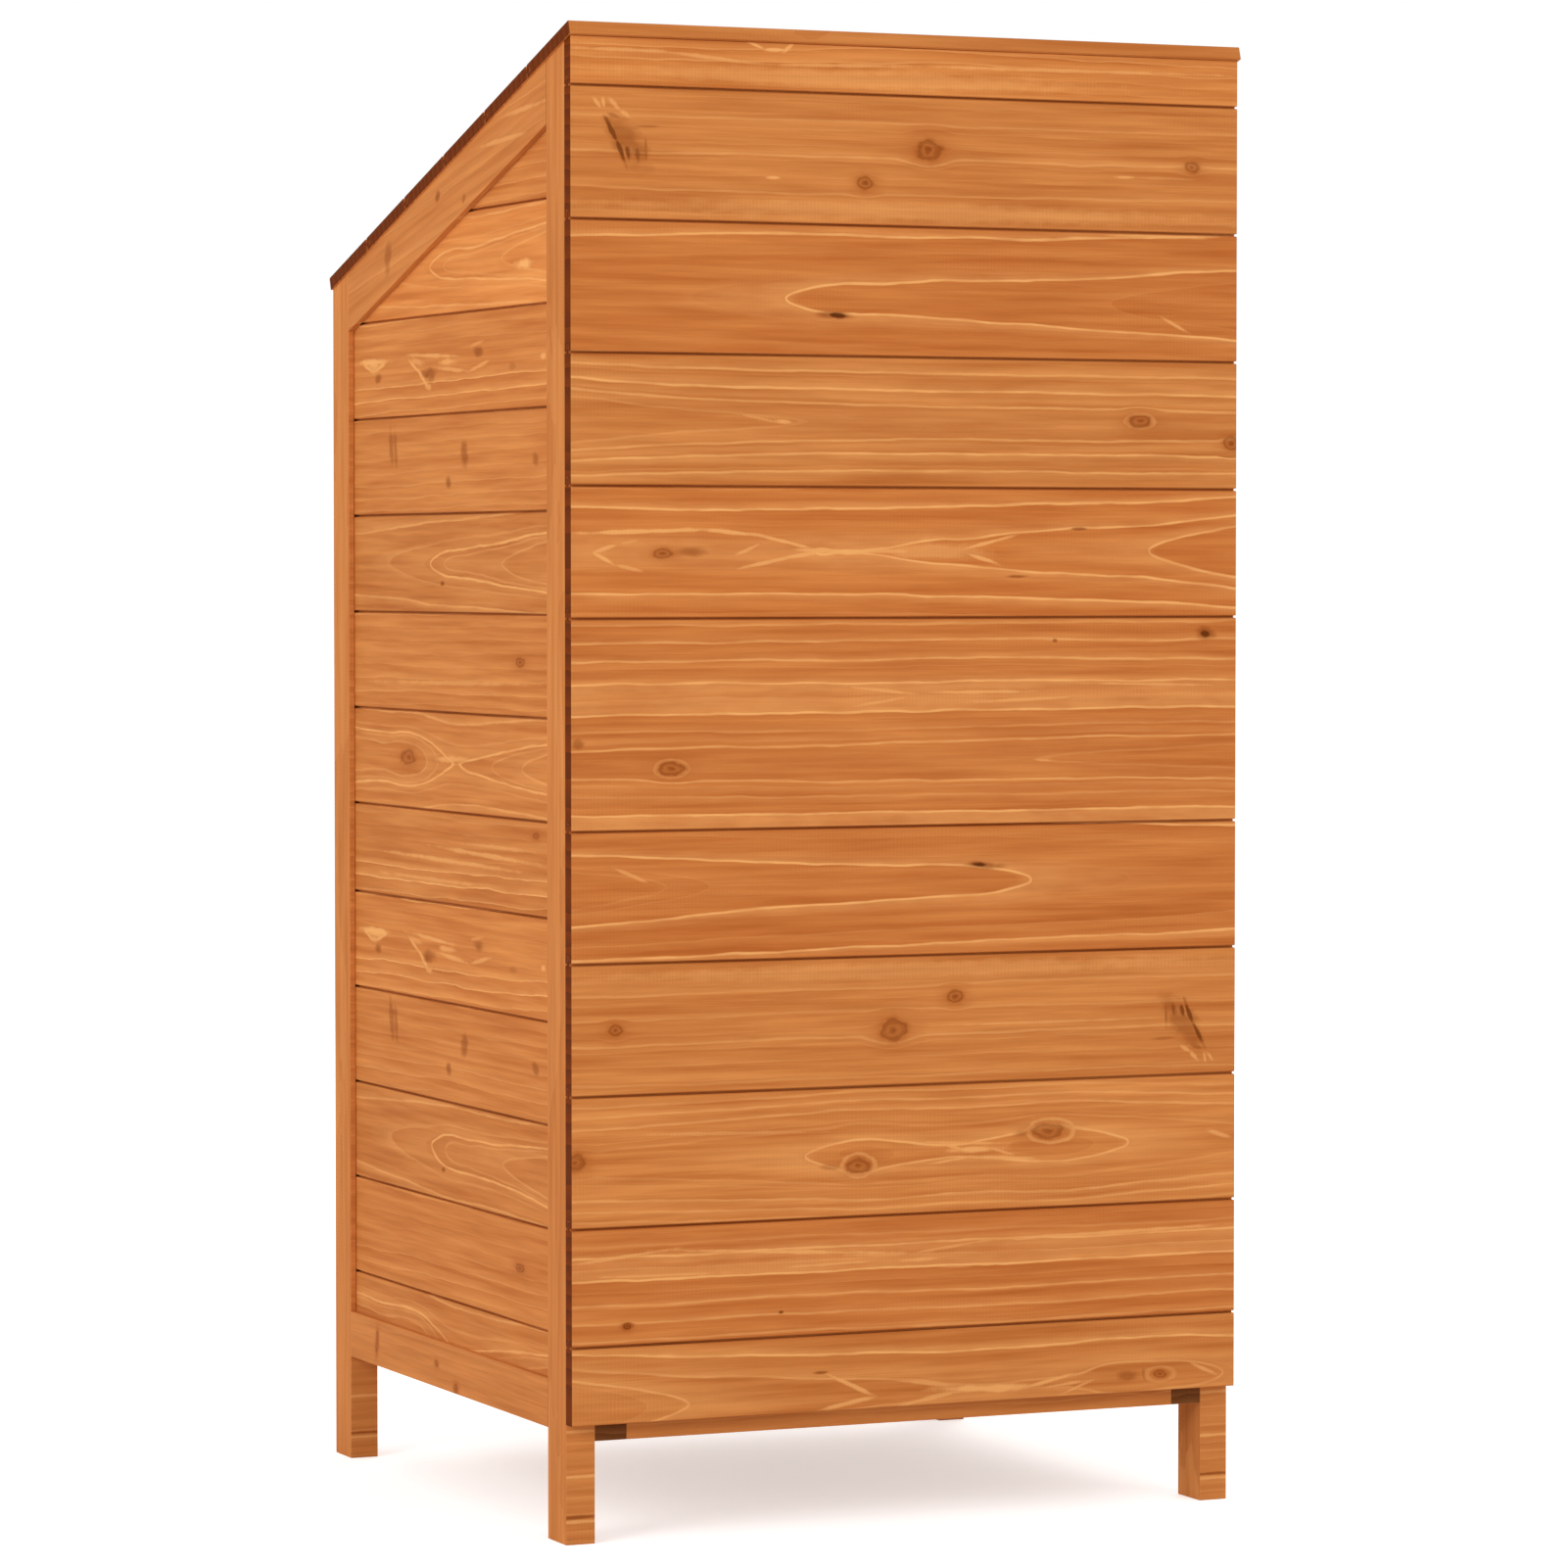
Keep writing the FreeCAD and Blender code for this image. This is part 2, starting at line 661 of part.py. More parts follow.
def make_shelf(level):
    """A slatted shelf on its battens, the upper edges of each slat planed."""
    top = "Sizes.%s_shelf_top" % level
    foot = top + " - Sizes.shelf_thick"
    start = "Places.front_y + Sizes.shelf_setback"
    gaps = "%d * Sizes.shelf_slat_gap" % (SHELF_SLATS - 1)
    width = "(Places.frame_rear_y - (%s) - %s) / %d" % (start, gaps, SHELF_SLATS)
    slats = []
    for index in range(SHELF_SLATS):
        low = "%s + %d * (%s + Sizes.shelf_slat_gap)" % (start, index, width)
        high = "%s + %s" % (low, width)
        section = [
            (low, foot),
            (high, foot),
            (high, top + " - Sizes.arris"),
            (high + " - Sizes.arris", top),
            (low + " + Sizes.arris", top),
            (low, top + " - Sizes.arris"),
        ]
        slats.append(crossbar("%s_shelf_slat" % level, section, "Places.fill_half_width"))
    group("%s_shelf" % level, slats)


# Roof, drawn along its slope from the upper rear edge


def on_roof(label):
    return new_body(label, y="Places.rear_y", z="Sizes.rear_height", pitch="Sizes.roof_pitch")


def make_roof():
    """Tongued roof boards from side to side, and the felt over them."""
    low, high = "-Places.roof_length", "0"
    boards = []
    for limits in boards_between(low, high, even_widths("Sizes.roof_board_pitch")):
        body = on_roof("roof_board")
        section = turned_over(board_section("0", "-", "Sizes.roof_thick", *limits))
        pad(body, outline(body, "YZ_Plane", section), "2 * Places.roof_half_width", True)
        boards.append(body)
    group("roof_boards", boards)

    felt = on_roof("roof_felt")
    edge = "(Places.roof_half_width - Sizes.felt_margin)"
    front = "-(Places.roof_length - Sizes.felt_margin)"
    section = rectangle("-" + edge, edge, front, "-Sizes.felt_margin")
    pad(felt, outline(felt, "XY_Plane", section), "Sizes.felt_thick")
    finish(felt)


# Door

PANEL_FRONT = "(Places.front_y + Sizes.panel_recess)"
PANEL_BACK = "(Places.front_y + Sizes.panel_recess + Sizes.panel_thick)"
GROOVE_FRONT = PANEL_FRONT + " - Sizes.groove_play"
GROOVE_BACK = PANEL_BACK + " + Sizes.groove_play"


def make_door_stiles():
    """The upright members of the door, grooved on their inner edges."""
    foot, head = "Places.door_foot_z", "Places.door_head_z"
    for side, sign in (("left", "-"), ("right", "")):
        outer, inner = sign + "Places.door_half_width", sign + "Places.stile_inner_x"
        root = sign + "(Places.stile_inner_x + Sizes.groove_depth)"
        body = new_body("door_stile_" + side, y="Places.door_back_y")
        pad(body, outline(body, "XZ_Plane", rectangle(outer, inner, foot, head)), "Sizes.door_thick")
        front_wall = "Places.door_back_y - (%s)" % GROOVE_FRONT
        groove = outline(body, "XZ_Plane", rectangle(inner, root, foot, head), front_wall)
        pocket(body, groove, "Places.groove_width")
        finish(body)


def make_door_rail(name, foot, head, groove_foot, groove_head, tenon_foot, tenon_head):
    """A rail of the door, with a groove along it and stub tenons in the stiles' grooves."""
    section = rectangle("Places.front_y", "Places.door_back_y", foot, head)
    body = crossbar("door_%s_rail" % name, section, "Places.stile_inner_x")
    groove = rectangle(GROOVE_FRONT, GROOVE_BACK, groove_foot, groove_head)
    end = outline(body, "YZ_Plane", groove, "Places.stile_inner_x")
    pocket(body, end, "2 * Places.stile_inner_x")
    tenon = rectangle(PANEL_FRONT, PANEL_BACK, tenon_foot, tenon_head)
    pad(body, outline(body, "YZ_Plane", tenon), "2 * (Places.stile_inner_x + Places.lap)", True)
    finish(body)


def make_door():
    """A frame of two stiles and two rails round boards level with those of the sides."""
    make_door_stiles()
    foot, low = "Places.door_foot_z", "Places.door_foot_z + Sizes.stock_width"
    head, high = "Places.door_head_z", "Places.door_head_z - Sizes.stock_width"
    low_root, high_root = low + " - Sizes.groove_depth", high + " + Sizes.groove_depth"
    make_door_rail("bottom", foot, low, low_root, low, foot, low_root)
    make_door_rail("top", high, head, high, high_root, high_root, head)

    low, high = low + " - Places.lap", high + " + Places.lap"
    boards = []
    for limits in boards_between(low, high, side_widths(), "Places.rail_top_z"):
        section = board_section(PANEL_FRONT, "+", "Sizes.panel_thick", *limits)
        boards.append(crossbar("door_board", section, "Places.stile_inner_x + Places.lap"))
    group("door_boards", boards)


def make_door_stop():
    """A strip behind the lintel that the door's top rail shuts against."""
    low = "Places.door_head_z - Sizes.stop_lap"
    front, back = "Places.rail_back_y", "Places.rail_back_y + Sizes.stop_thick"
    section = rectangle(front, back, low, low + " + Sizes.stop_height")
    finish(crossbar("door_stop", section, "Sizes.stop_length / 2"))


# Hinges

KNUCKLES = 5
POST_KNUCKLES = (0, 2, 4)
DOOR_KNUCKLES = (1, 3)


def knuckle_range(index):
    """Bottom and top of a knuckle from the hinge's middle, with a gap to its neighbours."""
    low = "-Sizes.leaf_height / 2 + %d * Sizes.leaf_height / %d" % (index, KNUCKLES)
    high = "-Sizes.leaf_height / 2 + %d * Sizes.leaf_height / %d" % (index + 1, KNUCKLES)
    if index > 0:
        low += " + Sizes.knuckle_gap / 2"
    if index < KNUCKLES - 1:
        high += " - Sizes.knuckle_gap / 2"
    return low, high


def leaf_outline(sign, own):
    """A leaf's outline from the hinge's axis, notched where the other leaf has its knuckles."""
    outer = sign + "Sizes.leaf_width"
    notch = sign + "(Sizes.barrel_radius + Sizes.knuckle_gap)"
    corners = [(outer, "-Sizes.leaf_height / 2")]
    for index in range(KNUCKLES):
        low, high = knuckle_range(index)
        if index in own:
            corners += [("0", low), ("0", high)]
            continue
        if index > 0:
            low = knuckle_range(index - 1)[1]
        if index < KNUCKLES - 1:
            high = knuckle_range(index + 1)[0]
        corners += [(notch, low), (notch, high)]
    return corners + [(outer, "Sizes.leaf_height / 2")]


def make_hinge_leaf(level, owner, sign, own):
    """One leaf with its knuckles round the pin and three screw holes."""
    label = "%s_hinge_%s_leaf" % (level, owner)
    body = new_body(label, "Places.hinge_x", "Places.hinge_y", "Places.%s_hinge_z" % level)
    leaf = outline(body, "XZ_Plane", leaf_outline(sign, own), "-Sizes.barrel_radius")
    pad(body, leaf, "Sizes.leaf_thick")
    axis = [("0", "0")]
    for index in own:
        low, high = knuckle_range(index)
        knuckle = circles(body, "XY_Plane", axis, "Sizes.barrel_radius", low)
        pad(body, knuckle, "%s - (%s)" % (high, low))
    bore_radius = "Sizes.hinge_pin_radius + Sizes.pin_play"
    bore = circles(body, "XY_Plane", axis, bore_radius, "Sizes.leaf_height / 2")
    pocket(body, bore, "Sizes.leaf_height")
    x = sign + "(Sizes.leaf_width + Sizes.barrel_radius) / 2"
    spots = [(x, "-Sizes.leaf_height / 3"), (x, "0"), (x, "Sizes.leaf_height / 3")]
    front = "Sizes.leaf_thick - Sizes.barrel_radius"
    holes = circles(body, "XZ_Plane", spots, "Sizes.screw_hole_radius", front)
    pocket(body, holes, "Sizes.leaf_thick")
    finish(body)


def make_hinge_pin(level):
    """A pin that hangs on the head at its top and ends level with the lowest knuckle."""
    label = "%s_hinge_pin" % level
    body = new_body(label, "Places.hinge_x", "Places.hinge_y", "Places.%s_hinge_z" % level)
    foot, top = "-Sizes.leaf_height / 2", "Sizes.leaf_height / 2"
    tip = top + " + Sizes.pin_head_thick"
    shaft, head = "Sizes.hinge_pin_radius", "Sizes.pin_head_radius"
    section = [("0", foot), (shaft, foot), (shaft, top), (head, top), (head, tip), ("0", tip)]
    revolve(body, outline(body, "XZ_Plane", section), "V_Axis")
    finish(body)


def make_hinges():
    for level in ("lower", "upper"):
        make_hinge_leaf(level, "post", "-", POST_KNUCKLES)
        make_hinge_leaf(level, "door", "", DOOR_KNUCKLES)
        make_hinge_pin(level)


# Slide bolt, along X on the door's right stile


def strap_outline(body, inner, outer, offset):
    """Half a ring round the bolt, on two straight legs that stand on the plate."""
    sketch = new_sketch(body, "YZ_Plane", offset)
    middle, foot = "Places.bolt_y", "Places.plate_front_y"
    low, high = "Sizes.bolt_height - ", "Sizes.bolt_height + "
    corners = [
        (middle, high + outer),
        (middle, low + outer),
        (foot, low + outer),
        (foot, low + inner),
        (middle, low + inner),
        (middle, high + inner),
        (foot, high + inner),
        (foot, high + outer),
    ]
    points = [FreeCAD.Vector(value(x), value(y), 0) for x, y in corners]
    count = len(points)
    centre = FreeCAD.Vector(value(middle), value("Sizes.bolt_height"), 0)
    # The outer ring runs from the first corner, the inner one back to the sixth
    ring_ends = {0: (1, 2), 4: (2, 1)}
    for index in range(count):
        start, end = points[index], points[(index + 1) % count]
        if index in ring_ends:
            circle = Part.Circle(centre, FreeCAD.Vector(0, 0, 1), start.distanceToPoint(centre))
            sketch.addGeometry(Part.ArcOfCircle(circle, math.pi / 2, 3 * math.pi / 2))
        else:
            sketch.addGeometry(Part.LineSegment(start, end))
    for index in range(count):
        following = (index + 1) % count
        last = ring_ends.get(index, (1, 2))[1]
        first = ring_ends.get(following, (1, 2))[0]
        sketch.addConstraint(Sketcher.Constraint("Coincident", index, last, following, first))
    for index, (x, y) in enumerate(corners):
        tie_point(sketch, index, ring_ends.get(index, (1, 2))[0], x, y)
    for index in ring_ends:
        rule = sketch.addConstraint(Sketcher.Constraint("DistanceX", -1, 1, index, 3, centre.x))
        sketch.setExpression("Constraints[%d]" % rule, middle)
    return sketch


def make_bolt_plate(label, x_low, x_high, straps, strap_width, play, hole_columns):
    """A plate with raised straps that the bolt slides in."""
    body = new_body(label)
    low, high = "Sizes.bolt_height - Sizes.plate_height / 2", "Sizes.bolt_height + Sizes.plate_height / 2"
    plate = outline(body, "XZ_Plane", rectangle(x_low, x_high, low, high), "-Places.front_y")
    pad(body, plate, "Sizes.plate_thick")
    inner = "(Sizes.bolt_radius + %s)" % play
    outer = "(Sizes.bolt_radius + %s + Sizes.strap_thick)" % play
    for start in straps:
        pad(body, strap_outline(body, inner, outer, start), strap_width)

    rise = "(Sizes.plate_height / 2 - Sizes.screw_head_radius - Sizes.strap_inset / 2)"
    spots = []
    for column in hole_columns:
        spots += [(column, "Sizes.bolt_height + " + rise), (column, "Sizes.bolt_height - " + rise)]
    holes = circles(body, "XZ_Plane", spots, "Sizes.screw_hole_radius", "-Places.plate_front_y")
    pocket(body, holes, "Sizes.plate_thick")
    finish(body)


def make_slide_bolt():
    """The round bolt with a bevelled end, drawn back from the keeper."""
    body = new_body("slide_bolt", y="Places.bolt_y", z="Sizes.bolt_height")
    tail, tip, radius = "Places.bolt_tail_x", "Places.bolt_tip_x", "Sizes.bolt_radius"
    bevel = "Sizes.bolt_radius / 2"
    section = [(tail, "0"), (tip, "0"), (tip, bevel), (tip + " - " + bevel, radius), (tail, radius)]
    revolve(body, outline(body, "XY_Plane", section), "H_Axis")
    stem_radius = "Sizes.knob_stem_radius + Sizes.pin_play"
    seat = circles(body, "XZ_Plane", [("Places.knob_x", "0")], stem_radius, radius)
    pocket(body, seat, "Sizes.knob_seat")
    finish(body)


def make_bolt_knob():
    """A turned knob whose stem sits in the bolt, drawn along its own axis."""
    body = new_body("bolt_knob", "Places.knob_x", "Places.bolt_y - Sizes.bolt_radius", "Sizes.bolt_height")
    stem, grip = "Sizes.knob_stem_radius", "Sizes.knob_radius"
    neck, crown = "-Sizes.knob_stem_length", "-(Sizes.knob_stem_length + Sizes.knob_length)"
    waist = neck + " - Sizes.knob_length / 3"
    section = [
        ("0", "Sizes.knob_seat"),
        (stem, "Sizes.knob_seat"),
        (stem, neck),
        (grip, waist),
        (grip, crown + " + Sizes.knob_length / 4"),
        (grip + " / 2", crown),
        ("0", crown),
    ]
    revolve(body, outline(body, "XY_Plane", section), "V_Axis")
    finish(body)


def make_bolt():
    """The plate on the door, the keeper on the post, the bolt and its knob."""
    left_holes = "Places.stile_inner_x + Sizes.groove_depth + Sizes.screw_head_radius"
    right_holes = "Places.plate_right_x - Sizes.screw_head_radius - Sizes.strap_inset"
    make_bolt_plate(
        "bolt_plate",
        "Places.plate_left_x",
        "Places.plate_right_x",
        ("Places.left_strap_x", "Places.right_strap_x"),
        "Sizes.strap_width",
        "Sizes.bolt_play",
        (left_holes, right_holes),
    )
    make_bolt_plate(
        "bolt_keeper",
        "Places.keeper_left_x",
        "Places.keeper_right_x",
        ("Places.keeper_strap_x",),
        "Sizes.keeper_strap_width",
        "Sizes.keeper_play",
        ("(Places.keeper_left_x + Places.keeper_right_x) / 2",),
    )
    make_slide_bolt()
    make_bolt_knob()


def make_cabinet():
    for side in SIDES:
        make_side_frame(side)
    roof_line = make_roof_line()
    for side in SIDES:
        make_side_boards(side, roof_line)
    make_back_boards()
    make_cross_rails()
    make_bearers_and_battens()
    make_floor()
    for level in ("lower", "upper"):
        make_shelf(level)
    make_roof()
    make_door()
    make_door_stop()
    make_hinges()
    make_bolt()
    doc.recompute()


def check():
    """Stops if a feature failed, a pocket cut nothing or a piece isn't sound."""
    faults = []
    for thing in doc.Objects:
        if "Invalid" in thing.State or "Error" in thing.State:
            faults.append("%s is %s" % (thing.Label, thing.State))
        elif thing.TypeId == "PartDesign::Pocket":
            if thing.Shape.Volume >= thing.BaseFeature.Shape.Volume - 0.01:
                faults.append("%s cuts nothing" % thing.Label)
    for piece in nodes:
        if piece.Shape.isNull() or not piece.Shape.isValid():
            faults.append("%s has no sound shape" % piece.Label)
    if faults:
        raise RuntimeError("; ".join(faults))


make_cabinet()
check()
os.makedirs("parts", exist_ok=True)
for piece in nodes:
    piece.Shape.exportStep("parts/%s.step" % piece.Label)
print("%d nodes, %d solids" % (len(nodes), sum(len(piece.Shape.Solids) for piece in nodes)))
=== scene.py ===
"""Looks of a garden storage cabinet of stained fir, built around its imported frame."""

import json
import logging
import math
import random
from dataclasses import dataclass, replace
from enum import Enum

import bmesh
import bpy
from mathutils import Matrix, Vector

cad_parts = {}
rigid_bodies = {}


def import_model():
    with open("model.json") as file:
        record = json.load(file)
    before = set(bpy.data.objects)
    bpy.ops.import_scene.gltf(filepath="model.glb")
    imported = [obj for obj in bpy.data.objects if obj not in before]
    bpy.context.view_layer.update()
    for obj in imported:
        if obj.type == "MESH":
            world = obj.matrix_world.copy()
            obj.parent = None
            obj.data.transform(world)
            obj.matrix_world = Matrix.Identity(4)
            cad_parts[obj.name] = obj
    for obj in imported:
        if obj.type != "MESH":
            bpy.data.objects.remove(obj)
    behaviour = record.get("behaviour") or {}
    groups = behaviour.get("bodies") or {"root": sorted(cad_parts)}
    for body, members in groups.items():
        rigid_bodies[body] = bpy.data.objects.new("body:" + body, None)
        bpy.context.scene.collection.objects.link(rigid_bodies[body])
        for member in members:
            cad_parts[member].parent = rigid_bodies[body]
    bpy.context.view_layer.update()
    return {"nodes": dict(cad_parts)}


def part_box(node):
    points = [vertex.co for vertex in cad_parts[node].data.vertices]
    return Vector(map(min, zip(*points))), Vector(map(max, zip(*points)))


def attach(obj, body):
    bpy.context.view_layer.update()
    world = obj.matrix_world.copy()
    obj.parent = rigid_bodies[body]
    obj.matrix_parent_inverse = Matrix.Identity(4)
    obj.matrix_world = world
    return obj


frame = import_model()

MM = 0.001
ROOF_PITCH = math.radians(17.4)
# Width of the softened edges of battens in mm. An edge bent by more than SHARP is softened, and corners closer than
# JOINED are one.
SOFT_EDGE = 0.5
SHARP = math.radians(35)
JOINED = 0.01 * MM
# What put() sets on each kind of node from the word after the dot; on all others it is the operation.
MODES = {"Mix": "data_type", "MapRange": "interpolation_type", "Mapping": "vector_type",
         "TexWhiteNoise": "noise_dimensions", "VectorRotate": "rotation_type"}
LOG = logging.getLogger("cabinet")


def linear(code: str) -> tuple[float, float, float, float]:
    """Turns a colour written as sRGB hex into the linear one that shaders take.

    Args:
        code: The colour, such as "#C9783E".

    Returns:
        Red, green, blue and an alpha of one.
    """
    shares = [int(code[i:i + 2], 16) / 255 for i in (1, 3, 5)]
    bent = [s / 12.92 if s <= 0.04045 else ((s + 0.055) / 1.055) ** 2.4 for s in shares]
    return (*bent, 1.0)


def put(tree: bpy.types.NodeTree, kind: str, *feeds: object, stops: tuple = (), steps: bool = False,
        **settings: object) -> bpy.types.NodeSocket | None:
    """Adds one shader node with its settings and links.

    Args:
        tree: The node tree that gets it.
        kind: The node's type without its ShaderNode prefix, then a dot and its operation or mode where it has one.
        feeds: Sockets or values for its inputs in order; None leaves one as it is.
        stops: Places and levels of a ramp or a curve, in rising order.
        steps: Whether a ramp holds each level up to the next place.
        settings: Attributes in small letters, and inputs by their names, with _ for a space.

    Returns:
        The node's first output, or None where it has none.
    """
    kind, _, mode = kind.partition(".")
    node = tree.nodes.new("ShaderNode" + kind)
    if mode:
        setattr(node, MODES.get(kind, "operation"), mode)
    for name, value in settings.items():
        if name[0].islower():
            setattr(node, name, value)
    named = [(node.inputs[n.replace("_", " ")], v) for n, v in settings.items() if n[0].isupper()]
    for socket, value in [*zip([s for s in node.inputs if s.enabled], feeds), *named]:
        if isinstance(value, bpy.types.NodeSocket):
            tree.links.new(value, socket)
        elif value is not None:
            socket.default_value = value
    if stops and kind == "ValToRGB":
        band = node.color_ramp
        band.interpolation = "CONSTANT" if steps else "LINEAR"
        band.elements.remove(band.elements[-1])
        band.elements[0].position, band.elements[0].color = stops[0]
        for place, level in stops[1:]:
            band.elements.new(place).color = level
    elif stops:
        line = node.mapping.curves[0]
        line.points[0].location, line.points[-1].location = stops[0], stops[-1]
        for place, level in stops[1:-1]:
            line.points.new(place, level)
        node.mapping.update()
    shown = [s for s in node.outputs if s.enabled]
    return shown[0] if shown else None


def new_material(name: str) -> tuple[bpy.types.Material, bpy.types.NodeTree]:
    """Makes an empty node material.

    Args:
        name: The material's name.

    Returns:
        The material and its node tree.
    """
    material = bpy.data.materials.new(name)
    material.use_nodes = True
    material.node_tree.nodes.clear()
    return material, material.node_tree


def add_object(name: str, data: bpy.types.ID) -> bpy.types.Object:
    """Adds an object to the scene.

    Args:
        name: The object's name.
        data: Its mesh, lamp or camera.

    Returns:
        The object.
    """
    thing = bpy.data.objects.new(name, data)
    bpy.context.scene.collection.objects.link(thing)
    return thing


class Lay(Enum):
    """How a piece's grain lies: the row's axes along, across and into it, and whether it tilts with the roof."""

    WIDTH_UPRIGHT = ("XZY", False)
    WIDTH_FLAT = ("XYZ", False)
    DEPTH_UPRIGHT = ("YZX", False)
    POST = ("ZXY", False)
    ROOF_BOARD = ("XYZ", True)


class Cut(Enum):
    """How a board was sawn from its log, as which of the two heart lines it shows, or none."""

    LOOP = 0.0
    EYE = 0.5
    STRAIGHT = 1.0


@dataclass(frozen=True)
class Knot:
    """A knot on a face, in mm along the row, and across from the piece's middle or, in courses, from the ground."""

    along: float
    across: float
    radius: float
    stretch: float = 1.3
    lean: float = 0.0


@dataclass(frozen=True)
class Mark:
    """A fleck on a face, in mm, placed like a knot: pale, dark where its strength is below 0, or a hollow line."""

    along: float
    across: float
    length: float
    width: float
    lean: float = 0.0
    strength: float = 0.6
    hollow: bool = False


@dataclass(frozen=True)
class Board:
    """One board among several in a node: how it was sawn, how light it is and how strong its rings are."""

    cut: Cut = Cut.STRAIGHT
    tone: float = 0.0
    strength: float = 0.7


@dataclass(frozen=True)
class Courses:
    """Boards side by side in one node, from the first seam up, in mm; one of them is narrower.

    The first entry of boards is the piece below that seam.
    """

    start: float
    pitch: float
    narrow_top: float = 1e4
    narrow_by: float = 0.0
    boards: tuple[Board, ...] = ()


@dataclass(frozen=True)
class Figure:
    """What the growth rings of one piece look like, in mm.

    The rings are circles round the log's heart, and the heart's depth under the face changes along the board,
    which opens them into the loops and eyes of plain-sawn fir. A named ring is its distance from the heart, its
    strength and, where there is one, the level that fills the wood after it. The long edges, which mostly show inside
    the seams between boards, are painted darker and redder by the seam shade, from 0 to 1: painted shade that
    colours the shadow in the seams. Chance shifts each board's figure by up to half of shift. On banded feet the
    grain runs across the rear face.
    """

    seed: int
    middle: float = 0.0
    heart: float = -90.0
    depths: tuple[tuple[float, float], ...] = ((-275, 30), (275, 30))
    eye_depths: tuple[tuple[float, float], ...] = ()
    rings: tuple[tuple[float, ...], ...] = ()
    spacing: float = 11.0
    strength: float = 0.55
    wander: float = 7.0
    tilt: float = 0.0
    tone: float = 0.0
    joints: float = 0.0
    shift: float = 0.0
    knots: tuple[Knot, ...] = ()
    marks: tuple[Mark, ...] = ()
    courses: Courses | None = None
    chance_knots: bool = False
    banded_feet: bool = False


